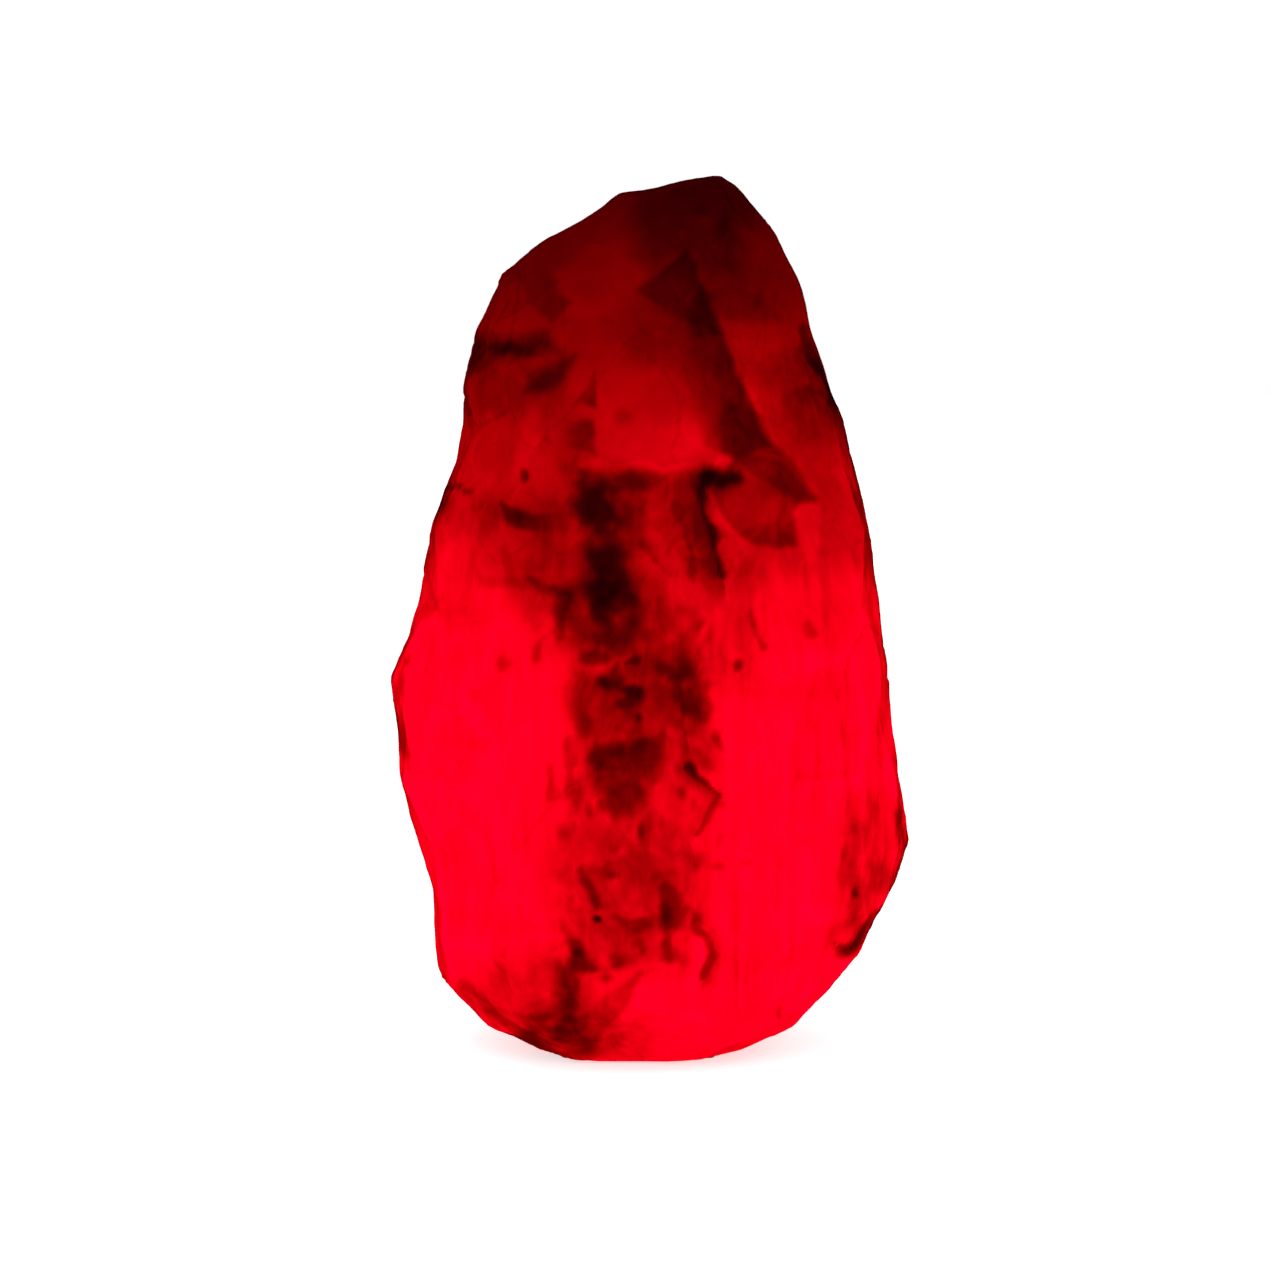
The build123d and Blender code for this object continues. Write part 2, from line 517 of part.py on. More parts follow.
# ------------------------------------------------ button, switch, socket and flap
with BuildPart() as power_button:
    with BuildSketch(level(PLATE_LIFT - BUTTON_PROUD)):
        with Locations((0, BUTTON_Y)):
            Circle(BUTTON_RADIUS)
    extrude(amount=BUTTON_RIM_Z - PLATE_LIFT + BUTTON_PROUD)
    fillet(power_button.edges().group_by(Axis.Z)[0], BUTTON_PROUD / 2)
    with BuildSketch(level(BUTTON_RIM_Z)):
        with Locations((0, BUTTON_Y)):
            Circle(BUTTON_RADIUS + BUTTON_RIM_WIDTH)
    extrude(amount=BUTTON_RIM_THICKNESS)
    dish_radius = (BUTTON_RADIUS**2 / BUTTON_DISH_DEPTH + BUTTON_DISH_DEPTH) / 2
    with Locations((AXIS_X, BUTTON_Y, PLATE_LIFT - BUTTON_PROUD - dish_radius + BUTTON_DISH_DEPTH)):
        Sphere(dish_radius, mode=Mode.SUBTRACT)

with BuildPart() as switch_plunger:
    with BuildSketch(level(BUTTON_TOP)):
        with Locations((0, BUTTON_Y)):
            Circle(PLUNGER_RADIUS)
    extrude(amount=PLUNGER_PROUD + PLUNGER_GRIP)

with BuildPart() as switch_body:
    with BuildSketch(level(SWITCH_BOTTOM)):
        with Locations((0, BUTTON_Y)):
            Rectangle(SWITCH_SIDE, SWITCH_SIDE)
    extrude(amount=BOARD_BOTTOM - SWITCH_BOTTOM)
    with BuildSketch(level(SWITCH_BOTTOM)):
        with Locations((0, BUTTON_Y)):
            Circle(PLUNGER_RADIUS + SLIP_GAP)
    extrude(amount=PLUNGER_GRIP + SWITCH_TRAVEL_ROOM, mode=Mode.SUBTRACT)

with BuildPart() as charging_socket:
    with BuildSketch(level(SOCKET_MOUTH)):
        with Locations((0, SOCKET_Y)):
            SlotOverall(SOCKET_WIDTH, SOCKET_DEPTH)
    extrude(amount=BOARD_BOTTOM - SOCKET_MOUTH)
    with BuildSketch(level(SOCKET_MOUTH)):
        with Locations((0, SOCKET_Y)):
            SlotOverall(SOCKET_WIDTH - 2 * SOCKET_WALL, SOCKET_DEPTH - 2 * SOCKET_WALL)
    extrude(amount=BOARD_BOTTOM - SOCKET_MOUTH - SOCKET_FLOOR, mode=Mode.SUBTRACT)
    with BuildSketch(level(SOCKET_MOUTH + TONGUE_INSET)):
        with Locations((0, SOCKET_Y)):
            Rectangle(TONGUE_WIDTH, TONGUE_THICKNESS)
    extrude(amount=BOARD_BOTTOM - SOCKET_MOUTH - TONGUE_INSET)

with BuildPart() as flap_pin:
    with BuildSketch(crosswise(0)):
        with Locations((FLAP_PIN_Y, FLAP_PIN_Z)):
            Circle(FLAP_PIN_RADIUS)
    extrude(amount=FLAP_WIDTH / 2 + FLAP_SIDE_GAP + FLAP_PIN_GRIP, both=True)

with BuildPart() as socket_flap:
    with BuildSketch(crosswise(0)):
        with Locations((FLAP_PIN_Y - FLAP_LENGTH / 2, PLATE_LIFT + FLAP_THICKNESS / 2)):
            Rectangle(FLAP_LENGTH, FLAP_THICKNESS)
        with Locations((FLAP_PIN_Y, FLAP_PIN_Z)):
            Circle(FLAP_KNUCKLE_RADIUS)
            Circle(FLAP_PIN_RADIUS + FLAP_PIN_GAP, mode=Mode.SUBTRACT)
    extrude(amount=FLAP_WIDTH / 2, both=True)

with BuildPart() as light_pipe:
    with BuildSketch(level(PLATE_LIFT)):
        with Locations((PIPE_X, PIPE_Y)):
            Circle(PIPE_RADIUS)
    extrude(amount=BOARD_BOTTOM - INDICATOR_HEIGHT - PLATE_LIFT)

with BuildPart() as charging_board:
    with BuildSketch(level(BOARD_BOTTOM)):
        Circle(SPIGOT_RADIUS - SLIP_GAP)
        with Locations(*SCREW_POINTS):
            Circle(SCREW_RADIUS + SLIP_GAP, mode=Mode.SUBTRACT)
    extrude(amount=BOARD_THICKNESS)

with BuildPart() as board_chips:
    for x, y, width, length, height in CHIPS:
        with BuildSketch(level(BOARD_BOTTOM)):
            with Locations((x, y)):
                Rectangle(width, length)
        extrude(amount=-height)
    with BuildSketch(level(BOARD_BOTTOM)):
        with Locations((PIPE_X, PIPE_Y)):
            Rectangle(INDICATOR_WIDTH, INDICATOR_LENGTH)
    extrude(amount=-INDICATOR_HEIGHT)

# ------------------------------------------------ cell, its contacts and the column round it
with BuildPart() as column_foot:
    with BuildSketch(level(BOARD_TOP)):
        Circle(SPIGOT_RADIUS)
        for angle in LEAD_ANGLES:
            with PolarLocations(SPIGOT_RADIUS, 1, start_angle=angle):
                notch_length = 2 * (SPIGOT_RADIUS - LEAD_CIRCLE_RADIUS)
                Rectangle(notch_length, 2 * (LEAD_RADIUS + SLIP_GAP), mode=Mode.SUBTRACT)
            with PolarLocations(LEAD_CIRCLE_RADIUS, 1, start_angle=angle):
                Circle(LEAD_RADIUS + SLIP_GAP, mode=Mode.SUBTRACT)
    extrude(amount=FOOT_HEIGHT)
    with BuildSketch(level(COLUMN_BOTTOM)):
        RegularPolygon(COLUMN_FLAT + COLUMN_POCKET_GAP, HEX_SIDES, major_radius=False, rotation=30)
    extrude(amount=COLUMN_POCKET_DEPTH, mode=Mode.SUBTRACT)
    with BuildSketch(level(SPRING_FLOOR)):
        Circle(COLUMN_BORE_RADIUS)
    extrude(amount=COLUMN_BOTTOM - SPRING_FLOOR, mode=Mode.SUBTRACT)
    with BuildSketch(level(BOARD_TOP)):
        with Locations(*SCREW_POINTS):
            Circle(SCREW_RADIUS + PILOT_GAP)
    extrude(amount=SCREW_SEAT_Z + SCREW_LENGTH + FACE_GAP - BOARD_TOP, mode=Mode.SUBTRACT)

with BuildPart() as negative_contact:
    with BuildSketch(level(SPRING_FLOOR)):
        Circle(CONTACT_RADIUS)
    extrude(amount=CONTACT_THICKNESS)

with BuildPart() as cell_spring:
    spring_height = CELL_BOTTOM - SPRING_FLOOR - CONTACT_THICKNESS - 2 * SPRING_WIRE_RADIUS
    spring_start = SPRING_FLOOR + CONTACT_THICKNESS + SPRING_WIRE_RADIUS
    with BuildLine(level(spring_start)):
        coil = Helix(pitch=spring_height / SPRING_TURNS, height=spring_height, radius=SPRING_RADIUS)
    with BuildSketch(Plane(origin=coil @ 0, z_dir=coil % 0)):
        Circle(SPRING_WIRE_RADIUS)
    sweep(path=coil, is_frenet=True)

with BuildPart() as battery_cell:
    with BuildSketch(level(CELL_BOTTOM)):
        Circle(CELL_RADIUS)
    extrude(amount=CELL_LENGTH)
    fillet(battery_cell.edges(), CELL_NUB_HEIGHT / 2)
    with BuildSketch(level(CELL_BOTTOM + CELL_LENGTH)):
        Circle(CELL_NUB_RADIUS)
    extrude(amount=CELL_NUB_HEIGHT)

with BuildPart() as positive_contact:
    with BuildSketch(level(CELL_TIP)):
        Circle(CONTACT_RADIUS)
    extrude(amount=CONTACT_THICKNESS)

with BuildPart() as column_plug:
    with BuildSketch(level(CELL_TIP + CONTACT_THICKNESS)):
        Circle(COLUMN_BORE_RADIUS - SLIP_GAP)
    extrude(amount=COLUMN_PLUG_HEIGHT)

with BuildPart() as led_column:
    with BuildSketch(level(COLUMN_BOTTOM)):
        RegularPolygon(COLUMN_FLAT, HEX_SIDES, major_radius=False, rotation=30)
        Circle(COLUMN_BORE_RADIUS, mode=Mode.SUBTRACT)
    extrude(amount=COLUMN_TOP - COLUMN_BOTTOM)
    with BuildSketch(level(COLUMN_TOP)):
        for angle in TOP_SCREW_ANGLES:
            with PolarLocations(TOP_SCREW_CIRCLE_RADIUS, 1, start_angle=angle):
                Circle(TOP_SCREW_RADIUS + PILOT_GAP)
    extrude(amount=-TOP_SCREW_LENGTH, mode=Mode.SUBTRACT)

# ------------------------------------------------ LEDs and their boards
strip_bottom = FOOT_TOP + STRIP_END_MARGIN
strip_length = COLUMN_TOP - STRIP_END_MARGIN - strip_bottom
strip_middle = strip_bottom + strip_length / 2

with BuildPart() as led_strips:
    for angle in HEX_FLAT_ANGLES:
        with BuildSketch(facing(angle, COLUMN_FLAT, strip_middle)):
            Rectangle(STRIP_WIDTH, strip_length)
        extrude(amount=STRIP_THICKNESS)

with BuildPart() as column_leds:
    for angle in HEX_FLAT_ANGLES:
        with BuildSketch(facing(angle, COLUMN_FLAT + STRIP_THICKNESS, strip_middle)):
            with GridLocations(0, LED_PITCH, 1, LEDS_PER_STRIP):
                Rectangle(LED_SIDE, LED_SIDE)
        extrude(amount=LED_HEIGHT)
        with BuildSketch(facing(angle, COLUMN_FLAT + STRIP_THICKNESS + LED_HEIGHT, strip_middle)):
            with GridLocations(0, LED_PITCH, 1, LEDS_PER_STRIP):
                Circle(LED_WINDOW_RADIUS)
        extrude(amount=-LED_WINDOW_DEPTH, mode=Mode.SUBTRACT)

with BuildPart() as top_board:
    with BuildSketch(level(COLUMN_TOP)):
        Circle(TOP_BOARD_RADIUS)
        for angle in TOP_SCREW_ANGLES:
            with PolarLocations(TOP_SCREW_CIRCLE_RADIUS, 1, start_angle=angle):
                Circle(TOP_SCREW_RADIUS + SLIP_GAP, mode=Mode.SUBTRACT)
    extrude(amount=TOP_BOARD_THICKNESS)

with BuildPart() as top_leds:
    with BuildSketch(level(TOP_BOARD_TOP)):
        with PolarLocations(TOP_LED_CIRCLE_RADIUS, TOP_LED_COUNT):
            Rectangle(LED_SIDE, LED_SIDE)
    extrude(amount=LED_HEIGHT)
    with BuildSketch(level(TOP_BOARD_TOP + LED_HEIGHT)):
        with PolarLocations(TOP_LED_CIRCLE_RADIUS, TOP_LED_COUNT):
            Circle(LED_WINDOW_RADIUS)
    extrude(amount=-LED_WINDOW_DEPTH, mode=Mode.SUBTRACT)

with BuildPart() as top_screws:
    for angle in TOP_SCREW_ANGLES:
        with BuildSketch(level(TOP_BOARD_TOP)):
            with PolarLocations(TOP_SCREW_CIRCLE_RADIUS, 1, start_angle=angle):
                Circle(TOP_SCREW_HEAD_RADIUS)
        extrude(amount=TOP_SCREW_HEAD_HEIGHT)
        with BuildSketch(level(TOP_BOARD_TOP)):
            with PolarLocations(TOP_SCREW_CIRCLE_RADIUS, 1, start_angle=angle):
                Circle(TOP_SCREW_RADIUS)
        extrude(amount=-TOP_SCREW_LENGTH)

with BuildPart() as board_leads:
    for angle in LEAD_ANGLES:
        over_board = TOP_BOARD_TOP + LEAD_RADIUS + PILOT_GAP
        bend_start = (LEAD_CIRCLE_RADIUS, over_board - LEAD_BEND_RADIUS)
        bend_end = (LEAD_CIRCLE_RADIUS - LEAD_BEND_RADIUS, over_board)
        with BuildLine(upright(angle)) as lead_route:
            Line((LEAD_CIRCLE_RADIUS, BOARD_TOP), bend_start)
            RadiusArc(bend_start, bend_end, -LEAD_BEND_RADIUS)
            Line(bend_end, (bend_end[0] - LEAD_RUN_IN, over_board))
        with BuildSketch(Plane(origin=lead_route.line @ 0, z_dir=(0, 0, 1))):
            Circle(LEAD_RADIUS)
        sweep(path=lead_route.line)

# ------------------------------------------------ diffuser
with BuildPart() as diffuser:
    with BuildSketch(upright(0)):
        with BuildLine():
            Line((0, DIFFUSER_SHOULDER + DIFFUSER_INNER), (0, DIFFUSER_SHOULDER + DIFFUSER_RADIUS))
            CenterArc((0, DIFFUSER_SHOULDER), DIFFUSER_RADIUS, 0, 90)
            Polyline(
                (DIFFUSER_RADIUS, DIFFUSER_SHOULDER),
                (DIFFUSER_RADIUS, DIFFUSER_BOTTOM),
                (DIFFUSER_INNER, DIFFUSER_BOTTOM),
                (DIFFUSER_INNER, DIFFUSER_SHOULDER),
            )
            CenterArc((0, DIFFUSER_SHOULDER), DIFFUSER_INNER, 0, 90)
        make_face()
    revolve(axis=Axis((AXIS_X, 0, 0), (0, 0, 1)))
    for angle in LUG_ANGLES:
        with BuildSketch(facing(angle, DIFFUSER_INNER - DIFFUSER_WALL, LUG_Z)):
            Rectangle(LUG_WIDTH + 2 * LUG_WINDOW_GAP, LUG_HEIGHT + 2 * LUG_WINDOW_GAP)
        extrude(amount=3 * DIFFUSER_WALL, mode=Mode.SUBTRACT)

# ------------------------------------------------ written pieces
pieces = {
    "salt_crystal": salt_crystal,
    "foot_pads": foot_pads,
    "base_plate": base_plate,
    "base_gasket": base_gasket,
    "spring_clips": spring_clips,
    "base_screws": base_screws,
    "pull_ring": pull_ring,
    "power_button": power_button,
    "switch_plunger": switch_plunger,
    "switch_body": switch_body,
    "charging_socket": charging_socket,
    "flap_pin": flap_pin,
    "socket_flap": socket_flap,
    "light_pipe": light_pipe,
    "charging_board": charging_board,
    "board_chips": board_chips,
    "column_foot": column_foot,
    "negative_contact": negative_contact,
    "cell_spring": cell_spring,
    "battery_cell": battery_cell,
    "positive_contact": positive_contact,
    "column_plug": column_plug,
    "led_column": led_column,
    "led_strips": led_strips,
    "column_leds": column_leds,
    "top_board": top_board,
    "top_leds": top_leds,
    "top_screws": top_screws,
    "board_leads": board_leads,
    "diffuser": diffuser,
}
for name, piece in pieces.items():
    piece.part.label = name
    export_step(piece.part, f"parts/{name}.step")
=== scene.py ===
import math

import bpy
import numpy as np
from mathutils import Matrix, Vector, noise
from mathutils.kdtree import KDTree


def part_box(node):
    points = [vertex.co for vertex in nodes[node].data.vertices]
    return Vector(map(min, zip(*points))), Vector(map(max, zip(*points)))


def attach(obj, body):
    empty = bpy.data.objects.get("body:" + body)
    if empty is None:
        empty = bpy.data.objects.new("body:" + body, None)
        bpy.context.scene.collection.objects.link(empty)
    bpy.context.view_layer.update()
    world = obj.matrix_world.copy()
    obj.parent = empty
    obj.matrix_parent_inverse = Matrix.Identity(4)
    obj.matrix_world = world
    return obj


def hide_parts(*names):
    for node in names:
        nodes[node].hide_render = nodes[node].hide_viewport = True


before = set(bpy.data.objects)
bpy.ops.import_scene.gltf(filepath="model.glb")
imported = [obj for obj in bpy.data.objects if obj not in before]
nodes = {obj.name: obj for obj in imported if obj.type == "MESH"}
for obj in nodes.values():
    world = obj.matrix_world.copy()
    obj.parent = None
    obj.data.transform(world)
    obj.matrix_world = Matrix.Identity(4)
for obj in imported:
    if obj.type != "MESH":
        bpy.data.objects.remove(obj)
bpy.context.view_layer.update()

mm = 0.001
print("frame loaded:", len(nodes), "CAD nodes")


# small helpers
def linear(hexColour):
    # an sRGB hex colour as linear RGBA
    parts = [int(hexColour[i:i + 2], 16) / 255 for i in (0, 2, 4)]
    return [p / 12.92 if p <= 0.04045 else ((p + 0.055) / 1.055) ** 2.4 for p in parts] + [1.0]


def addNode(tree, kind, settings, links):
    # settings are the node's own attributes or its inputs, by name or number
    # links go into inputs, from an output or from the first output of a node
    node = tree.nodes.new(kind)
    for name, value in settings.items():
        if isinstance(name, int) or name in node.inputs:
            node.inputs[name].default_value = value
        else:
            setattr(node, name, value)
    for name, source in links.items():
        if isinstance(source, bpy.types.Node):
            source = source.outputs[0]
        tree.links.new(source, node.inputs[name])
    return node


# the four ends of a Map Range node
rangeEnds = ("From Min", "From Max", "To Min", "To Max")


def setStops(rampNode, stops):
    # stops are (position, colour) pairs, in order
    elements = rampNode.color_ramp.elements
    while len(elements) < len(stops):
        elements.new(1.0)
    for element, (position, colour) in zip(elements, stops):
        element.position = position
        element.color = colour


def newMaterial(name):
    material = bpy.data.materials.new(name)
    material.use_nodes = True
    tree = material.node_tree
    tree.nodes.clear()
    shader = addNode(tree, "ShaderNodeBsdfPrincipled", {}, {})
    addNode(tree, "ShaderNodeOutputMaterial", {}, {"Surface": shader})
    place = addNode(tree, "ShaderNodeTexCoord", {}, {}).outputs["Object"]
    return material, tree, shader, place


def only(obj):
    # the one object that the next operator works on
    bpy.ops.object.select_all(action="DESELECT")
    obj.select_set(True)
    bpy.context.view_layer.objects.active = obj


def applyModifier(obj, name, kind, settings):
    modifier = obj.modifiers.new(name, kind)
    for setting, value in settings.items():
        setattr(modifier, setting, value)
    only(obj)
    bpy.ops.object.modifier_apply(modifier=name)


# camera: level with the middle of the crystal and a little above it
view = {
    "target": Vector((-3.75, 0.0, 103.5)) * mm,
    "elevation": 7.0,
    "distance": 882 * mm,
    "lens": 100.0,
    "sensor": 36.0,
    "photoSide": 1270,
    "mmPerPixel": 0.25,
}
tilt = math.radians(view["elevation"])
viewBack = Vector((0, -math.cos(tilt), math.sin(tilt)))
viewUp = Vector((0, math.sin(tilt), math.cos(tilt)))
cameraPlace = view["target"] + viewBack * view["distance"]
cameraData = bpy.data.cameras.new("camera")
cameraData.lens = view["lens"]
cameraData.sensor_width = view["sensor"]
camera = bpy.data.objects.new("camera", cameraData)
camera.location = cameraPlace
camera.rotation_euler = (-viewBack).to_track_quat("-Z", "Y").to_euler()
bpy.context.scene.collection.objects.link(camera)
bpy.context.scene.camera = camera


# crystal: the split block gets chips, scoops, steps and cracks, and the clay that shows through it
crystal = {
    "voxel": 1.34,
    "seed": 7,
    "chips": 150,
    "chipRing": (66, 50),
    "chipHeights": (2, 216),
    "chipDepth": (0.2, 0.7),
    "chipReach": 24.0,
    "chipTilt": 0.22,
    "chipSpan": 2.6,
    "rimFacing": 0.45,
    "rimShare": 0.35,
    "rimReach": (-0.3, 0.0, 0.36),
    "frontEdge": (-0.05, 0.12),
    "smoothFront": 0.3,
    "calmTone": 0.4,
    "foot": 0.6,
    "lumps": (9.0, 0.8),  # size and strength in mm
    "grain": (2.2, 0.22),
    "edgeWander": ((34.0, 5.0), (14.0, 2.4), (8.0, 1.1)),  # wave length and reach in pixels
    "patchy": ((30.0, 0.22), (12.0, 0.12)),  # wave length in pixels, strength
    "crispEdge": 12,
    "skirtShade": 0.55,
    "deepestMark": 0.9,
    "padRadius": 2.0,
    "seatGap": 0.6,
    "boreStep": 1.5,
    "boreHead": 3.0,
}
# small moves of the whole surface, in mm: where, how far around, how much
nudges = {
    "shoulderTopLeft": ((-21, 0, 206), 10, (0.4, 0, -0.3)),
    "crownLedge": ((-7.5, 0, 212), 4.5, (0, 0, 1.6)),
    "crownDip": ((3.5, 0, 216), 5, (0, 0, -1.1)),
}
# parts of the front where the grid is made finer: left, top, right, bottom in the photograph's pixels
fineZones = ((480, 235, 832, 560), (528, 560, 775, 1062))
# flat or hollow places of the front, clay fields and facets with painted glow or painted shade: outline in
# the photograph's pixels, softness of the edge, tone, depth in mm, and where it fades, the points of full and of
# no strength
frontFacets = {
    "apexCap": (((640, 180), (722, 170), (752, 200), (742, 225), (738, 262), (700, 258), (660, 268),
        (636, 250)), 22, 0.7, 0.0),
    "rightBand": (((742, 205), (762, 222), (792, 265), (806, 330), (786, 330), (764, 300), (745, 262),
        (735, 230)), 10, 0.92, 0.0),
    "ridgeField": (((697, 262), (712, 250), (738, 262), (764, 300), (782, 322), (724, 322), (710, 300)),
        8, 0.84, 0.3),
    "topLeftPlane": (((556, 275), (590, 243), (632, 240), (646, 286), (612, 326), (575, 322), (560, 300)),
        14, 1.1, 0.0),
    "leftPolygon": (((514, 268), (534, 256), (556, 277), (558, 293), (572, 302), (550, 322), (531, 304)),
        5, 0.78, 0.5, ((556, 306), (522, 258))),
    "triangle": (((686, 250), (697, 266), (700, 286), (712, 312), (722, 334), (690, 322), (660, 306),
        (638, 290), (662, 272)), 4, 0.58, 0.4, ((700, 268), (672, 352))),
    "triangleFade": (((642, 292), (705, 286), (726, 345), (690, 345)), 16, 0.78, 0.0),
    # painted shade on the left-hand side of the ridge
    "ridgeBand": (((700, 286), (712, 312), (722, 334), (732, 356), (736, 374), (746, 392), (757, 414),
        (762, 428), (773, 444), (740, 458), (704, 446), (690, 410), (682, 360), (688, 310)),
        5, 0.52, 0.3, ((736, 384), (672, 396))),
    "ridgeFoot": (((722, 398), (757, 412), (763, 428), (773, 444), (797, 468), (816, 502), (794, 500),
        (756, 474), (726, 452), (716, 425)), 5, 0.74, 0.3),
    "leftBlack": (((470, 335), (520, 338), (548, 331), (556, 350), (520, 360), (494, 357), (464, 372)),
        12, 0.44, 0.6),
    "leftBlackLow": (((556, 362), (575, 354), (566, 378), (545, 392), (527, 392), (526, 374)), 8, 0.58, 0.5),
    # a patch of painted glow
    "leftBrightGlow": (((545, 325), (570, 328), (566, 345), (548, 348)), 5, 1.14, -0.2),
    "smallTriangle": (((595, 370), (596, 408), (577, 400)), 3, 0.62, 0.6, ((598, 400), (572, 388))),
    "wedge": (((552, 440), (582, 419), (594, 421), (596, 455), (574, 449)),
        5, 0.66, 0.5, ((594, 432), (550, 446))),
    "scoopTop": (((604, 322), (700, 318), (716, 366), (640, 366)), 18, 0.8, 0.0),
    "leftField": (((468, 360), (560, 385), (578, 440), (572, 480), (530, 520), (430, 545), (430, 480)),
        18, 0.88, 0.0),
    "leftFieldUpper": (((468, 350), (560, 360), (560, 400), (520, 412), (464, 420)), 16, 0.84, 0.0),
    "leftFieldLow": (((474, 500), (575, 492), (572, 606), (516, 600), (484, 566)), 20, 0.76, 0.0),
    "leftDrop": (((520, 596), (576, 596), (572, 650), (536, 660)), 16, 0.84, 0.1),
    "rightField": (((786, 392), (846, 396), (880, 560), (830, 570), (806, 500), (776, 450)), 16, 0.84, 0.0),
    "lumpField": (((783, 392), (812, 384), (842, 396), (846, 430), (812, 428), (788, 420)),
        5, 0.74, 0.3, ((830, 396), (800, 436))),
    "notchField": (((776, 356), (812, 340), (838, 392), (806, 396)), 12, 0.68, 0.0),
    "sideShade": (((744, 362), (800, 356), (830, 392), (838, 440), (800, 440), (764, 420)), 16, 0.86, 0.0),
    "centreClay": (((566, 470), (640, 480), (700, 500), (706, 640), (710, 760), (700, 900), (676, 965),
        (560, 985), (548, 860), (572, 730), (562, 640)), 24, 0.84, 0.2),
    "centreClayDeep": (((588, 640), (700, 640), (706, 740), (660, 850), (600, 850), (580, 740)),
        24, 0.92, 0.2),
    "wedgeField": (((560, 385), (590, 400), (596, 470), (566, 480)), 16, 0.84, 0.2),
    "underLobes": (((690, 530), (800, 530), (802, 572), (720, 592), (692, 580)), 16, 0.84, 0.3),
    "hookField": (((656, 476), (738, 462), (740, 484), (716, 500), (724, 560), (700, 566), (664, 545)),
        12, 0.78, 0.2),
    "hookShade": (((696, 474), (738, 474), (738, 486), (708, 492), (712, 530), (724, 584), (702, 590),
        (690, 540)), 6, 0.6, 0.2, ((716, 500), (668, 530))),
    # painted glow on the face to the right of the ridge
    "brightSide": (((725, 323), (781, 324), (797, 357), (808, 380), (786, 396), (782, 423), (759, 411),
        (738, 376)), 3, 1.08, 0.3),
    "underLip": (((577, 470), (612, 476), (640, 470), (664, 476), (652, 490), (622, 493), (600, 486),
        (581, 495)), 6, 0.66, 0.5),
    "lobes": (((738, 456), (762, 455), (781, 460), (799, 478), (815, 500), (800, 504), (792, 513),
        (796, 528), (798, 545), (789, 544), (781, 549), (770, 543), (757, 543), (746, 540), (736, 530),
        (727, 520), (716, 504), (712, 486)), 4, 0.72, 0.4),
    "lobeEdge": (((716, 500), (742, 512), (770, 522), (795, 520), (797, 546), (781, 550), (748, 542),
        (730, 526)), 6, 0.84, 0.2, ((770, 548), (762, 508))),
    "columnTop": (((582, 478), (602, 484), (614, 500), (620, 520), (622, 560), (630, 600), (592, 606),
        (580, 560), (584, 520)), 12, 0.5, 0.3),
    "columnRight": (((606, 462), (650, 470), (644, 548), (612, 560)), 12, 0.8, 0.2),
    "columnWide": (((560, 588), (596, 568), (628, 580), (644, 606), (640, 640), (612, 654), (590, 644),
        (560, 640)), 12, 0.58, 0.3),
    "columnSide": (((620, 500), (650, 500), (640, 560), (622, 560)), 12, 0.84, 0.2),
    "centreField": (((630, 560), (656, 580), (682, 612), (692, 655), (692, 704), (660, 704), (630, 680),
        (610, 650)), 16, 0.74, 0.3),
    "centreUpper": (((596, 655), (690, 655), (690, 735), (612, 742), (598, 700)), 16, 0.86, 0.2),
    "leftPatch": (((500, 502), (514, 507), (532, 514), (580, 512), (578, 534), (524, 530), (508, 524)),
        4, 0.46, 0.5, ((506, 508), (574, 520))),
    "leftDrift": (((520, 515), (576, 512), (580, 575), (530, 575)), 16, 0.84, 0.0),
    "sill": (((478, 577), (530, 578), (566, 574), (568, 594), (548, 590), (478, 586)), 4, 0.9, 0.2),
    "sillDark": (((526, 578), (546, 584), (566, 590), (560, 596), (540, 594)), 4, 0.72, 0.3),
    "pocketField": (((574, 668), (640, 690), (644, 738), (580, 742), (576, 700)), 14, 0.72, 0.2),
    "mass": (((588, 752), (604, 748), (640, 742), (662, 730), (658, 766), (644, 800), (626, 834), (604, 806),
        (590, 786)), 9, 0.56, 0.5, ((640, 752), (612, 890))),
    "bridgeField": (((650, 690), (704, 700), (716, 770), (700, 772), (684, 738), (648, 735)), 12, 0.8, 0.2),
    "massHaze": (((594, 750), (660, 738), (690, 830), (690, 880), (640, 900), (600, 860)), 20, 0.96, 0.3),
    "centreLow": (((560, 830), (640, 830), (700, 850), (690, 940), (620, 980), (565, 950)), 22, 0.92, 0.2),
    "basinLow": (((582, 868), (640, 850), (678, 880), (676, 950), (620, 958), (584, 930)), 14, 0.9, 0.2),
    "footDark": (((568, 968), (578, 992), (584, 1022), (598, 1044), (582, 1066), (536, 1066), (514, 1040),
        (532, 1008), (556, 1000)), 12, 0.58, 0.3),
    "footHaze": (((500, 950), (570, 950), (612, 1000), (596, 1060), (470, 1010)), 20, 0.8, 0.0),
    "footStep": (((642, 972), (628, 1006), (600, 1040), (590, 1064), (570, 1040), (596, 1000)),
        5, 0.8, 0.3, ((620, 1016), (580, 996))),
    "footRight": (((596, 1012), (648, 1022), (648, 1060), (596, 1060)), 12, 0.88, 0.0),
    "flankRight": (((700, 560), (760, 560), (760, 690), (706, 690)), 18, 0.9, 0.0),
    "heelField": (((846, 790), (900, 800), (900, 880), (850, 950), (826, 950), (838, 880)), 14, 0.86, 0.2),
}
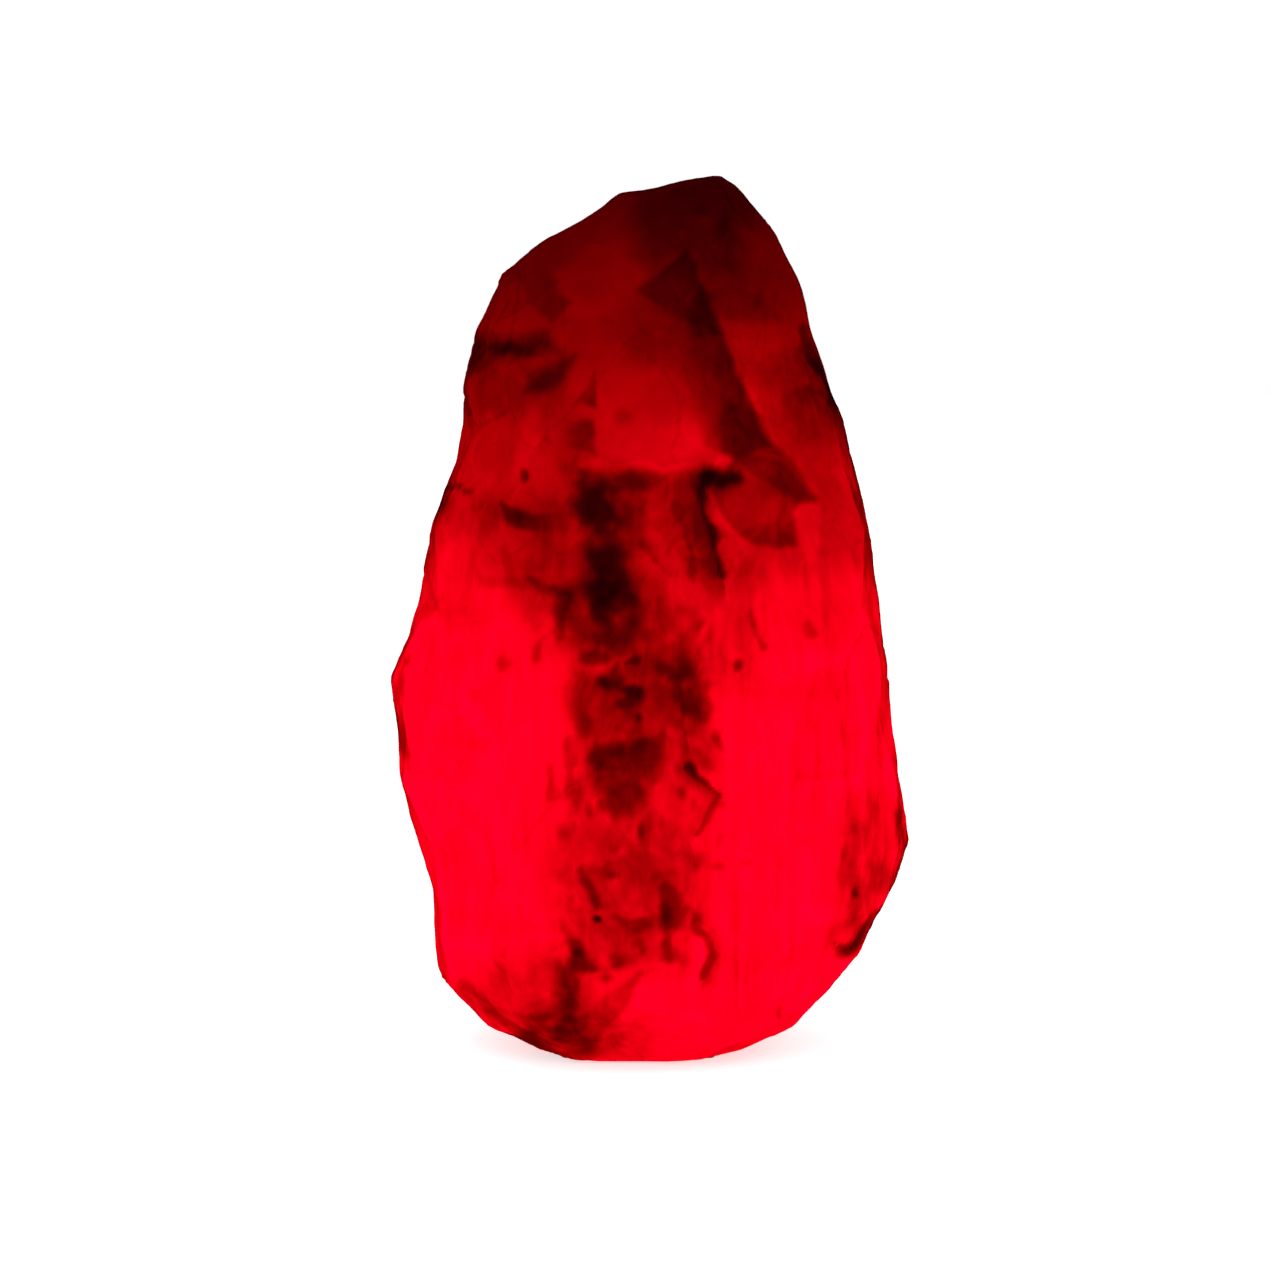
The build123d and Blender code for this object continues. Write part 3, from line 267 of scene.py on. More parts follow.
# cracks, streaks and strings of clay on the front, and painted highlights along the lip and in a bright streak:
# path, half width in pixels, tone, depth in mm, and how far a faint painted shade reaches to the right as one
# walks along it (to the left if below 0)
frontStrokes = {
    "ridgeEdge": (((700, 285), (722, 334), (735, 370), (757, 413), (773, 444), (797, 468), (814, 499)),
        3, 0.84, 0.7, 12),
    "rightNotch": (((812, 362), (822, 376), (834, 390), (843, 404)), 6, 0.46, 0.5, 14),
    "rightEdge": (((806, 330), (812, 352), (822, 372)), 6, 0.7, 0.2, 0),
    "brightStreak": (((520, 470), (526, 440), (533, 420)), 8, 1.14, -0.2, 0),
    "leftDash": (((450, 488), (460, 488), (470, 494)), 3, 0.6, 0.3, 0),
    # painted highlight along the lip
    "lip": (((579, 466), (600, 462), (618, 468), (640, 461), (665, 467), (700, 463), (718, 459), (735, 467)),
        3.5, 1.09, -0.2, 0),
    "columnCore": (((594, 500), (602, 520), (606, 545), (604, 570), (605, 600)), 15, 0.5, 0.3, 0),
    "columnSplit": (((606, 600), (608, 640)), 7, 0.8, 0.3, 0),
    "hookArm": (((738, 478), (722, 480), (707, 478)), 6, 0.48, 0.6, 10),
    "hook": (((707, 477), (700, 490), (703, 510), (711, 530), (715, 552), (722, 578)), 4.5, 0.42, 0.9, 34),
    "hookVein": (((676, 501), (680, 524), (688, 545)), 5, 0.76, 0.3, 8),
    "hookTail": (((690, 560), (694, 584)), 5, 0.72, 0.2, 0),
    "edgeLeft": (((642, 545), (656, 562), (672, 575)), 3, 0.8, 0.3, -12),
    "dripA": (((542, 636), (536, 648), (535, 658)), 5, 0.78, 0.2, 0),
    "dripB": (((566, 596), (560, 616), (560, 634)), 8, 0.7, 0.2, 0),
    "blobA": (((588, 657), (604, 656)), 6, 0.6, 0.5, 8),
    "blobE": (((615, 663), (610, 672)), 5, 0.64, 0.4, 0),
    "blobB": (((624, 663), (638, 662)), 4, 0.5, 0.5, 0),
    "blobC": (((606, 681), (619, 684)), 8, 0.42, 0.7, 14),
    "blobF": (((630, 690), (637, 692)), 6, 0.46, 0.6, 8),
    "blobD": (((630, 700), (620, 704)), 5, 0.64, 0.3, 0),
    "massUpper": (((668, 668), (678, 690), (694, 704)), 13, 0.62, 0.4, 10),
    "massVein": (((681, 668), (681, 700)), 6, 0.74, 0.3, 0),
    "massTop": (((612, 750), (636, 750), (658, 736)), 8, 0.8, 0.3, 14),
    "massLeft": (((596, 756), (600, 776)), 7, 0.74, 0.3, 0),
    "crackUpper": (((684, 704), (682, 728), (684, 752), (688, 768)), 3.5, 0.74, 0.4, 10),
    "crackBend": (((688, 768), (697, 779), (710, 788), (720, 797)), 4.5, 0.44, 0.7, 18),
    "crackLow": (((720, 797), (712, 806), (706, 820), (697, 836)), 4.5, 0.64, 0.5, 16),
    "dashRight": (((752, 616), (758, 638), (764, 646)), 4, 0.78, 0.2, 0),
    "dashFar": (((806, 624), (814, 636)), 4, 0.84, 0.2, 0),
    "streakA": (((551, 765), (550, 800)), 4, 0.84, 0.2, 8),
    "streakB": (((568, 742), (570, 790)), 4, 0.84, 0.2, 8),
    "streakLow": (((583, 872), (590, 890), (598, 906)), 6, 0.64, 0.3, -10),
    "barLow": (((614, 920), (628, 927), (642, 921), (658, 924)), 6, 0.74, 0.3, 0),
    "postLow": (((662, 880), (668, 905), (668, 930), (668, 952)), 9, 0.66, 0.4, 12),
    "clot": (((570, 942), (575, 952), (584, 966), (596, 972)), 6, 0.54, 0.5, -12),
    "clotTail": (((642, 950), (630, 964), (606, 972)), 4, 0.82, 0.2, 8),
    "fork": (((699, 916), (702, 930), (712, 944), (716, 954), (708, 968), (703, 980)), 4.5, 0.6, 0.6, -18),
    "footVein": (((572, 975), (570, 1000), (566, 1024)), 6, 0.8, 0.2, 12),
    "footLeft": (((462, 988), (484, 1006), (504, 1022), (532, 1044)), 6, 0.76, 0.2, -12),
    "heelBand": (((858, 830), (856, 862), (862, 896), (856, 935)), 9, 0.84, 0.3, 0),
    "heelDark": (((846, 952), (860, 938), (874, 918)), 8, 0.34, 0.4, 0),
    "rimRight": (((899, 815), (904, 845)), 5, 0.6, 0.0, 0),
    "rimLeft": (((405, 660), (399, 676), (397, 700), (400, 735), (408, 768)), 3.5, 0.74, 0.2, 0),
}
# pits and lumps of clay, and spots of painted shade and painted glow: across, down, half width, half height in
# pixels, lean in degrees, tone, depth in mm
frontSpots = {
    "apexShade": (724, 224, 12, 15, 0, 0.64, 0.4),
    "scoopGlow": (688, 438, 50, 26, 12, 1.14, 0.0),
    "apexSpeck": (702, 211, 8, 6, 0, 0.78, 0.2),
    "bandNotch": (759, 299, 4, 10, 15, 0.78, 0.3),
    "leftBlackCore": (512, 350, 26, 7, 4, 0.66, 0.2),
    "scoopFaint": (624, 417, 9, 10, 0, 0.9, 0.2),
    "pitTop": (524, 475, 5, 6, 0, 0.48, 0.7),
    "leftEdgeShade": (446, 506, 9, 16, 20, 0.76, 0.0),
    "lobesCore": (776, 484, 18, 16, 0, 0.86, 0.2),
    "dripD": (503, 664, 9, 8, 20, 0.74, 0.2),
    "dripE": (474, 694, 6, 8, 0, 0.88, 0.1),
    "pitMid": (637, 719, 5, 5, 0, 0.42, 0.7),
    "clotLeft": (583, 724, 9, 13, 10, 0.74, 0.3),
    "oval": (718, 740, 5, 11, -20, 0.66, 0.5),
    "lipLumpA": (634, 480, 10, 7, 10, 0.78, 0.3),
    "lipLumpB": (664, 487, 8, 12, 0, 0.84, 0.3),
    "pitRight": (737, 665, 5, 6, 0, 0.6, 0.5),
    "tickA": (682, 794, 5, 8, 0, 0.66, 0.4),
    "tickB": (640, 832, 4, 12, 0, 0.6, 0.4),
    "tickC": (693, 858, 12, 12, 0, 0.78, 0.3),
    "tickD": (718, 866, 9, 6, 0, 0.82, 0.2),
    "tickE": (747, 864, 7, 3, 0, 0.84, 0.2),
    "pitLow": (596, 921, 4, 4, 0, 0.2, 0.8),
    "speckLow": (612, 876, 6, 4, 0, 0.72, 0.3),
    "postCore": (666, 918, 7, 13, 0, 0.62, 0.3),
    "clotCore": (577, 953, 5, 5, 0, 0.6, 0.3),
    "clotB": (606, 979, 7, 6, 0, 0.66, 0.4),
    "footCore": (570, 1032, 16, 14, 0, 0.5, 0.2),
    "footStreak": (616, 1042, 12, 7, -35, 0.82, 0.3),
    "heelPit": (858, 892, 4, 5, 0, 0.5, 0.5),
    "heelSoft": (880, 876, 12, 18, 0, 0.8, 0.2),
    "heelTick": (780, 1014, 3, 7, 0, 0.82, 0.2),
}
# clay strewn in seeded spots: crumbs in the middle of the front, with bright specks of painted glow among them,
# and upright streaks on its right-hand flank
strewnClayAndGlow = (
    {
        "count": 70, "seed": 4, "halfWidth": (3.0, 8.0), "stretch": (0.8, 2.6), "lean": 30,
        "tone": (0.76, 0.98), "depth": 0.25,
        "outline": ((575, 480), (640, 490), (700, 600), (712, 700), (735, 790), (715, 880), (700, 980),
         (556, 1000), (545, 880), (575, 760), (560, 640)),
    },
    {
        # bright specks of painted glow
        "count": 16, "seed": 9, "halfWidth": (2.5, 6.0), "stretch": (1.2, 4.0), "lean": 60,
        "tone": (1.04, 1.16), "depth": -0.15,
        "outline": ((600, 500), (700, 520), (720, 760), (690, 980), (570, 960), (580, 700)),
    },
    {
        "count": 34, "seed": 12, "halfWidth": (2.5, 6.0), "stretch": (6.0, 18.0), "lean": 4,
        "tone": (0.88, 0.97), "depth": 0.15,
        "outline": ((700, 560), (860, 560), (890, 780), (850, 920), (740, 1000), (700, 900)),
    },
    {
        "count": 12, "seed": 15, "halfWidth": (3.0, 7.0), "stretch": (4.0, 10.0), "lean": 4,
        "tone": (0.92, 0.98), "depth": 0.1,
        "outline": ((430, 560), (560, 580), (560, 900), (440, 880), (410, 700)),
    },
)
# painted shade on the rim where the block turns away from the front: height in the photograph, left and
# right-hand strength
rimShade = (
    (180, 0.1, 0.1), (300, 0.3, 0.25), (345, 0.35, 0.55), (400, 0.3, 0.6), (480, 0.4, 0.6), (505, 0.6, 0.6),
    (535, 0.45, 0.6), (640, 0.45, 0.55), (675, 0.65, 0.45), (760, 0.35, 0.35), (870, 0.2, 0.5),
    (930, 0.25, 0.6), (990, 0.45, 0.4), (1060, 0.5, 0.35),
)
# the sides and the back, which the photograph doesn't show, get clay of their own
aroundClay = {
    "veins": 46, "seed": 21, "wander": 2.2, "halfWidth": (1.6, 7.0), "stretch": (1.2, 3.6), "tone": (0.42, 0.88),
    "wide": (
        ((-18, 46, 70), (13, 12, 42), 0.62),
        ((12, 46, 112), (9, 12, 30), 0.66),
        ((-6, 42, 150), (24, 14, 9), 0.74),
        ((36, 36, 34), (14, 12, 10), 0.66),
        ((-46, 24, 100), (9, 12, 26), 0.72),
        ((-24, 40, 18), (20, 14, 7), 0.6),
        ((20, 26, 176), (8, 12, 24), 0.78),
        ((-56, 4, 44), (8, 16, 10), 0.74),
        ((60, 10, 88), (8, 14, 26), 0.78),
    ),
}
unitAxis = (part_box("diffuser")[0].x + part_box("diffuser")[1].x) / 2 / mm
plateLow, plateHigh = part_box("base_plate")
plateRadius = (plateHigh.x - plateLow.x) / 2 / mm
seatRadius = plateRadius + crystal["seatGap"]
boreRadius = plateRadius - crystal["boreStep"]
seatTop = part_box("base_gasket")[0].z / mm + 0.3
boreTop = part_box("diffuser")[1].z / mm + crystal["boreHead"]

block = nodes["salt_crystal"].copy()
block.data = nodes["salt_crystal"].data.copy()
block.name = "crystal_block"
bpy.context.scene.collection.objects.link(block)
only(block)
bpy.ops.object.mode_set(mode="EDIT")
bpy.ops.mesh.select_all(action="SELECT")
bpy.ops.mesh.remove_doubles(threshold=0.002 * mm)
bpy.ops.mesh.select_all(action="DESELECT")
bpy.ops.object.mode_set(mode="OBJECT")
for face in block.data.polygons:
    centre = face.center / mm
    reach = math.hypot(centre.x - unitAxis, centre.y)
    inBore = reach < seatRadius + 0.2 and centre.z < boreTop + 1
    underFoot = centre.z < 2.1 and reach < 30 and (abs(face.normal.z) > 0.98 or reach < 27)
    face.select = inBore or underFoot
bpy.ops.object.mode_set(mode="EDIT")
bpy.ops.mesh.delete(type="FACE")
bpy.ops.mesh.select_all(action="DESELECT")
bpy.ops.mesh.select_non_manifold()
bpy.ops.mesh.edge_face_add()
bpy.ops.mesh.select_all(action="SELECT")
bpy.ops.mesh.normals_make_consistent(inside=False)
bpy.ops.object.mode_set(mode="OBJECT")
applyModifier(block, "evenGrid", "REMESH", {"mode": "VOXEL", "voxel_size": crystal["voxel"] * mm})
print("crystal grid:", len(block.data.vertices), "points")


def meshArray(mesh, what):
    values = np.empty(len(mesh.vertices) * 3)
    mesh.vertices.foreach_get(what, values)
    return values.reshape(-1, 3)


def photoPlaces(places):
    # where points given in mm stand in the photograph, in its pixels
    fromCamera = places * mm - np.array(cameraPlace)
    depth = fromCamera @ -np.array(viewBack)
    step = view["mmPerPixel"] * mm * depth / view["distance"]
    half = view["photoSide"] / 2
    return np.stack([half + fromCamera[:, 0] / step, half - fromCamera @ np.array(viewUp) / step], axis=1)


def smoothStep(values, low, high):
    share = np.clip((values - low) / (high - low), 0, 1)
    return share * share * (3 - 2 * share)


def pathDistance(places, path):
    # distance from each place to a run of straight lines, and the side it lies on: 1 on the right-hand side
    nearest = np.full(len(places), 1e9)
    side = np.ones(len(places))
    for start, end in zip(np.array(path[:-1], float), np.array(path[1:], float)):
        along = end - start
        share = np.clip((places - start) @ along / (along @ along), 0, 1)
        offset = places - start - share[:, None] * along
        apart = np.linalg.norm(offset, axis=1)
        closer = apart < nearest
        side[closer] = np.sign(along[0] * offset[:, 1] - along[1] * offset[:, 0])[closer]
        nearest = np.minimum(nearest, apart)
    return nearest, side


def insideOutline(places, outline):
    inside = np.zeros(len(places), bool)
    for (x1, y1), (x2, y2) in zip(outline, outline[1:] + outline[:1]):
        if y1 != y2:
            crosses = (places[:, 1] < y1) != (places[:, 1] < y2)
            inside ^= crosses & (places[:, 0] < x1 + (places[:, 1] - y1) * (x2 - x1) / (y2 - y1))
    return inside


def inFineZone(places):
    inside = np.zeros(len(places), bool)
    for left, top, right, bottom in fineZones:
        across = (places[:, 0] > left) & (places[:, 0] < right)
        inside |= across & (places[:, 1] > top) & (places[:, 1] < bottom)
    return inside


def placePoints():
    # the block takes the points, none of them below its sawn foot
    points[:, 2] = np.maximum(points[:, 2], crystal["foot"])
    block.data.vertices.foreach_set("co", (points * mm).ravel())
    block.data.update()


points = meshArray(block.data, "co") / mm
for place, reach, move in nudges.values():
    flat = np.array([1.0, 0.35, 1.0])
    apart = np.linalg.norm((points - np.array(place)) * flat, axis=1)
    points = points + np.exp(-((apart / reach) ** 2))[:, None] * np.array(move)
placePoints()

# the front zones get a finer grid
facing = meshArray(block.data, "normal")
seen = photoPlaces(points)
frontward = facing @ np.array(viewBack)
inZone = inFineZone(seen) & (frontward > 0.05)
for face in block.data.polygons:
    face.select = bool(inZone[face.vertices[0]] and inZone[face.vertices[-1]])
bpy.ops.object.mode_set(mode="EDIT")
bpy.ops.mesh.subdivide(number_cuts=1)
bpy.ops.mesh.select_all(action="DESELECT")
bpy.ops.object.mode_set(mode="OBJECT")
points = meshArray(block.data, "co") / mm
facing = meshArray(block.data, "normal")
edges = np.empty(len(block.data.edges) * 2, int)
block.data.edges.foreach_get("vertices", edges)
edges = edges.reshape(-1, 2)
print("crystal with fine front:", len(points), "points")


def smoothed(values, rounds):
    # each point takes the mean of its neighbours, several times over
    count = np.bincount(edges.ravel(), minlength=len(values)).astype(float)
    count = count.reshape(-1, *[1] * (values.ndim - 1))
    for _ in range(rounds):
        total = np.zeros_like(values)
        np.add.at(total, edges[:, 0], values[edges[:, 1]])
        np.add.at(total, edges[:, 1], values[edges[:, 0]])
        values = total / count
    return values


# flat chips, deepest on the upper part
chooser = np.random.default_rng(crystal["seed"])
facing = smoothed(facing, 5)
facing /= np.linalg.norm(facing, axis=1)[:, None]
frontward = facing @ np.array(viewBack)
tone = np.ones(len(points))
for _ in range(crystal["chips"]):
    around = chooser.uniform(0, 2 * math.pi)
    halfWide, halfDeep = crystal["chipRing"]
    height = chooser.uniform(*crystal["chipHeights"])
    aim = np.array((halfWide * math.cos(around), halfDeep * math.sin(around), height))
    seedPoint = int(((points - aim) ** 2).sum(axis=1).argmin())
    turned = facing[seedPoint] + chooser.normal(0, crystal["chipTilt"], 3)
    turned /= np.linalg.norm(turned)
    depth = chooser.uniform(*crystal["chipDepth"]) * (0.6 + 0.5 * points[seedPoint][2] / 200)
    # each chip's painted glow a little brighter or darker, as its face lets the light out, calmer on the front
    chipGlowLevel = chooser.uniform(0.92, 1.05)
    if abs(facing[seedPoint][1]) < crystal["rimFacing"]:
        depth *= crystal["rimShare"]
    elif frontward[seedPoint] > 0:
        depth *= crystal["smoothFront"]
        chipGlowLevel = 1 + (chipGlowLevel - 1) * crystal["calmTone"]
    over = (points - points[seedPoint]) @ turned + depth
    near = np.linalg.norm(points - points[seedPoint], axis=1) < crystal["chipReach"]
    hit = near & (over > 0) & (over < crystal["chipSpan"] * depth)
    points[hit] -= turned * over[hit, None]
    tone[hit] *= chipGlowLevel
print("crystal chipped")

# the front as the photograph shows it
wander = np.zeros((len(points), 2))
seen = photoPlaces(points)
for length, reach in crystal["edgeWander"]:
    scale = 1 / (length * view["mmPerPixel"])
    waves = np.array([noise.noise_vector(Vector(point) * scale)[:2] for point in points])
    if length < 10:
        waves[~inFineZone(seen)] = 0  # the coarse grid can't hold them
    wander += reach * waves
patchy = np.ones(len(points))
for length, strength in crystal["patchy"]:
    scale = 1 / (length * view["mmPerPixel"])
    patchy += 2 * strength * np.array([noise.noise(Vector(point) * scale) for point in points])
front = smoothStep(frontward, *crystal["frontEdge"])
sink = np.zeros(len(points))


def mark(share, shade, depth, unevenness=1.0):
    # clay, or painted glow and painted shade, marked on the block, its strength uneven as in the real stone
    global tone, sink
    share = np.clip(share * (1 + (patchy - 1) * unevenness), 0, 1)
    tone = tone * (1 + (shade - 1) * share)
    sink = sink + depth * share


for outline, soft, shade, depth, *fade in frontFacets.values():
    looseness = min(1.0, soft / crystal["crispEdge"])
    places = seen + wander * looseness  # a crisp edge stays nearly straight
    apart = pathDistance(places, outline + outline[:1])[0]
    apart[insideOutline(places, outline)] *= -1
    share = (1 - smoothStep(apart, -soft, soft)) * front
    if fade:
        start, end = np.array(fade[0], float)
        along = end - start
        share *= 1 - smoothStep((seen + wander - start) @ along / (along @ along), 0, 1)
    mark(share, shade, depth, looseness)
for path, halfWidth, shade, depth, skirt in frontStrokes.values():
    apart, side = pathDistance(seen + wander * 0.8, path)
    width = halfWidth * np.clip(1 + 2.2 * (patchy - 1), 0.4, 1.7)
    share = 1 - smoothStep(apart, 0.1 * width, 1.7 * width)
    # the painted shade beside the stroke
    if skirt:
        shaded = crystal["skirtShade"] * (1 - smoothStep(apart, 0, abs(skirt))) * (side * skirt > 0)
        share = np.maximum(share, shaded)
    mark(share * front, shade, depth)
strewn = []
for kind in strewnClayAndGlow:
    chooser = np.random.default_rng(kind["seed"])
    corners = np.array(kind["outline"], float)
    for _ in range(kind["count"]):
        place = chooser.uniform(corners.min(axis=0), corners.max(axis=0))
        halfWide = chooser.uniform(*kind["halfWidth"])
        halfHigh = halfWide * chooser.uniform(*kind["stretch"])
        lean = chooser.uniform(-kind["lean"], kind["lean"])
        shade = chooser.uniform(*kind["tone"])
        if insideOutline(place[None, :], kind["outline"])[0]:
            strewn.append((*place, halfWide, halfHigh, lean, shade, kind["depth"]))
for across, down, halfWide, halfHigh, lean, shade, depth in [*frontSpots.values(), *strewn]:
    turn = math.radians(lean)
    offset = seen + wander * 0.5 - np.array((across, down))
    right = (offset[:, 0] * math.cos(turn) + offset[:, 1] * math.sin(turn)) / halfWide
    up = (offset[:, 1] * math.cos(turn) - offset[:, 0] * math.sin(turn)) / halfHigh
    mark((1 - smoothStep(np.hypot(right, up), 0.1, 1.55)) * front, shade, depth)
# painted shade where the block turns away from the front
heights, *sides = np.array(rimShade).T
leftRim, rightRim = (np.interp(seen[:, 1], heights, strengths) for strengths in sides)
rim = np.where(points[:, 0] < 0, leftRim, rightRim) * np.clip(1 + 2 * (patchy - 1), 0.4, 1.3)
rimBack, rimTop, rimFront = crystal["rimReach"]
tone *= 1 - rim * (1 - smoothStep(frontward, rimTop, rimFront)) * smoothStep(frontward, rimBack, rimTop)

# clay and hollows around the rest of the block
chooser = np.random.default_rng(aroundClay["seed"])
astray = points + aroundClay["wander"] * np.array([noise.noise_vector(Vector(point) * 0.16) for point in points])
behind = 1 - front
behindPoints = np.flatnonzero(behind > 0.9)
for _ in range(aroundClay["veins"]):
    place = points[chooser.choice(behindPoints)]
    halfWide = chooser.uniform(*aroundClay["halfWidth"])
    halfHigh = halfWide * chooser.uniform(*aroundClay["stretch"])
    shade = chooser.uniform(*aroundClay["tone"])
    apart = np.linalg.norm((astray - place) / (halfWide, halfWide, halfHigh), axis=1)
    mark((1 - smoothStep(apart, 0.1, 1.5)) * behind, shade, 0.5, 1.6)
for place, halfSizes, shade in aroundClay["wide"]:
    apart = np.linalg.norm((astray - np.array(place)) / np.array(halfSizes), axis=1)
    mark((1 - smoothStep(apart, 0.2, 1.7)) * behind, shade, 0.0, 1.6)
# the tone holds the clay and the painted glow and shade of chips, facets and rims
deepest = crystal["deepestMark"]
points -= facing * (deepest * np.tanh(sink / deepest))[:, None]
placePoints()
print("crystal clay drawn, tone from", round(float(tone.min()), 2), "to", round(float(tone.max()), 2))

# soft lumps and salt grain, kept off the sawn foot
footMask = block.vertex_groups.new(name="aboveFoot")
for vertex, point in zip(block.data.vertices, points):
    footMask.add([vertex.index], min(1.0, max(0.0, (point[2] - 1.0) / 4)), "REPLACE")
for name in ("lumps", "grain"):
    size, strength = crystal[name]
    clouds = bpy.data.textures.new(name, "CLOUDS")
    clouds.noise_scale = size * mm
    clouds.noise_depth = 2
    applyModifier(block, name, "DISPLACE", {
        "texture": clouds, "texture_coords": "LOCAL", "strength": strength * mm, "mid_level": 0.5,
        "vertex_group": "aboveFoot",
    })
points = meshArray(block.data, "co") / mm
placePoints()
facing = meshArray(block.data, "normal")
hollow = ((smoothed(points, 10) - points) * facing).sum(axis=1)
print("crystal hollows", round(float(hollow.min()), 2), round(float(hollow.max()), 2))

nearby = KDTree(len(points))
for index, point in enumerate(points):
    nearby.insert(point, index)
nearby.balance()

# bore, seat and pad holes are cut as in the solid
padLow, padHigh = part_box("foot_pads")
padCircle = (padHigh.x - padLow.x) / 2 / mm - crystal["padRadius"] + 0.1
holes = [(seatRadius, -5, seatTop, unitAxis, 0), (boreRadius, seatTop - 1, boreTop, unitAxis, 0)]
for sideX in (-1, 1):
    for sideY in (-1, 1):
        holes.append((crystal["padRadius"], -5, 2.0, unitAxis + sideX * padCircle, sideY * padCircle))
for radius, low, high, x, y in holes:
    bpy.ops.object.select_all(action="DESELECT")
    centre = (x * mm, y * mm, (low + high) / 2 * mm)
    bpy.ops.mesh.primitive_cylinder_add(
        vertices=96, radius=radius * mm, depth=(high - low) * mm, location=centre
    )
    drill = bpy.context.object
    applyModifier(block, "cut", "BOOLEAN", {"object": drill, "operation": "DIFFERENCE", "solver": "EXACT"})
    bpy.data.objects.remove(drill)

found = [nearby.find(vertex.co / mm)[1] for vertex in block.data.vertices]
for name, values in (("clayAndPaintedLightTone", tone), ("hollow", hollow)):
    layer = block.data.attributes.new(name, "FLOAT", "POINT")
    layer.data.foreach_set("value", values[found])
only(block)
bpy.ops.object.shade_smooth_by_angle(angle=math.radians(50))
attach(block, "crystal")
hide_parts("salt_crystal")
print("crystal cut:", len(block.data.polygons), "faces")

# rock salt, split and rough, its glow from the lamp inside painted on as emission: deep red from inside, bright
# where little clay lies before the light, with cloudy veins, faint upright growth lines and a dull crumbly face
salt = {
    "faceColour": "0c0001",
    "roughness": 0.85,
    "drift": 24.0,
    "glowTop": 220,
    "brightest": 1.14,
    "glow": (
        (0, 1.0), (10, 1.04), (26, 1.08), (80, 1.08), (100, 1.05), (112, 1.0), (119, 0.965), (129, 0.915),
        (139, 0.86), (150, 0.79), (163, 0.69), (175, 0.57), (188, 0.45), (203, 0.34), (213, 0.26),
        (220, 0.20),
    ),
    "colours": (
        (0.0, "0a0000"), (0.12, "1e0000"), (0.25, "3f0000"), (0.4, "660000"), (0.55, "8c0000"),
        (0.7, "b30004"), (0.85, "da000c"), (0.97, "f90014"), (1.04, "ff001e"), (1.22, "ff0034"),
    ),
}
material, tree, shader, place = newMaterial("rock_salt_split_rough_painted_glow")
shader.inputs["Base Color"].default_value = linear(salt["faceColour"])
shader.inputs["Roughness"].default_value = salt["roughness"]
shader.inputs["Specular IOR Level"].default_value = 0.0
shader.inputs["Emission Strength"].default_value = 1.0
inMm = addNode(tree, "ShaderNodeVectorMath", {"operation": "SCALE", "Scale": 1 / mm}, {0: place})
# the painted glow by height, its levels wandering in waves of 16 mm
drift = addNode(tree, "ShaderNodeTexNoise", {"Scale": 0.06, "Detail": 2.0}, {"Vector": inMm})
height = addNode(tree, "ShaderNodeSeparateXYZ", {}, {0: inMm}).outputs["Z"]
height = addNode(tree, "ShaderNodeMath", {"operation": "MULTIPLY_ADD", 1: salt["drift"]},
                 {0: drift, 2: height})
ends = (salt["drift"] / 2, salt["glowTop"] + salt["drift"] / 2, 0, 1)
level = addNode(tree, "ShaderNodeMapRange", dict(zip(rangeEnds, ends)), {"Value": height})
glow = addNode(tree, "ShaderNodeValToRGB", {}, {0: level})
setStops(glow, [(z / salt["glowTop"], [t / salt["brightest"]] * 3 + [1]) for z, t in salt["glow"]])
# the tone attribute: clay, with painted glow and painted shade
clay = addNode(tree, "ShaderNodeAttribute", {"attribute_name": "clayAndPaintedLightTone"}, {}).outputs["Fac"]
# smoky clouds of 5 mm, taller than wide, strong in the clay and the painted shade and faint in the clear salt
flattened = addNode(tree, "ShaderNodeVectorMath", {"operation": "MULTIPLY", 1: (1.0, 1.0, 0.6)}, {0: inMm})
clouds = addNode(tree, "ShaderNodeTexNoise", {
    "Scale": 0.2, "Detail": 4.0, "Roughness": 0.55, "Distortion": 1.1,
}, {"Vector": flattened})
cloudDepth = addNode(tree, "ShaderNodeMapRange", dict(zip(rangeEnds, (0.35, 1.0, 0.22, 0.03))),
                     {"Value": clay})
# upright growth lines 2.5 mm apart and 40 mm long, lost in the upper part
stretched = addNode(tree, "ShaderNodeVectorMath", {"operation": "MULTIPLY", 1: (0.4, 0.4, 0.025)}, {0: inMm})
lines = addNode(tree, "ShaderNodeTexNoise", {"Scale": 1.0, "Detail": 2.0}, {"Vector": stretched})
lineDepth = addNode(tree, "ShaderNodeMapRange", dict(zip(rangeEnds, (122, 152, 0.034, 0.006))),
                    {"Value": height})
# edges catch a little more light than hollows
dent = addNode(tree, "ShaderNodeAttribute", {"attribute_name": "hollow"}, {}).outputs["Fac"]
dip = addNode(tree, "ShaderNodeMapRange", dict(zip(rangeEnds, (-0.35, 0.35, 1.05, 0.94))), {"Value": dent})
factors = [clay, dip]
for pattern, depth in ((clouds, cloudDepth), (lines, lineDepth)):
    swing = addNode(tree, "ShaderNodeMapRange", dict(zip(rangeEnds, (0.3, 0.7, -1, 1))), {"Value": pattern})
    factors.append(addNode(tree, "ShaderNodeMath", {"operation": "MULTIPLY_ADD", 2: 1.0},
                           {0: swing, 1: depth}))
lit = glow
for factor in factors:
    lit = addNode(tree, "ShaderNodeMath", {"operation": "MULTIPLY"}, {0: lit, 1: factor})
lastStop = salt["colours"][-1][0]
ends = (0, lastStop / salt["brightest"], 0, 1)
lit = addNode(tree, "ShaderNodeMapRange", dict(zip(rangeEnds, ends)), {"Value": lit})
colour = addNode(tree, "ShaderNodeValToRGB", {}, {0: lit})
setStops(colour, [(position / lastStop, linear(code)) for position, code in salt["colours"]])
tree.links.new(colour.outputs[0], shader.inputs["Emission Color"])
# crumbs of 1 mm
crumbs = addNode(tree, "ShaderNodeTexNoise", {"Scale": 1.1, "Detail": 4.0}, {"Vector": inMm})
relief = addNode(tree, "ShaderNodeBump", {"Strength": 0.5, "Distance": 0.3 * mm}, {"Height": crumbs})
tree.links.new(relief.outputs[0], shader.inputs["Normal"])
block.data.materials.clear()
block.data.materials.append(material)
print("rock salt made")

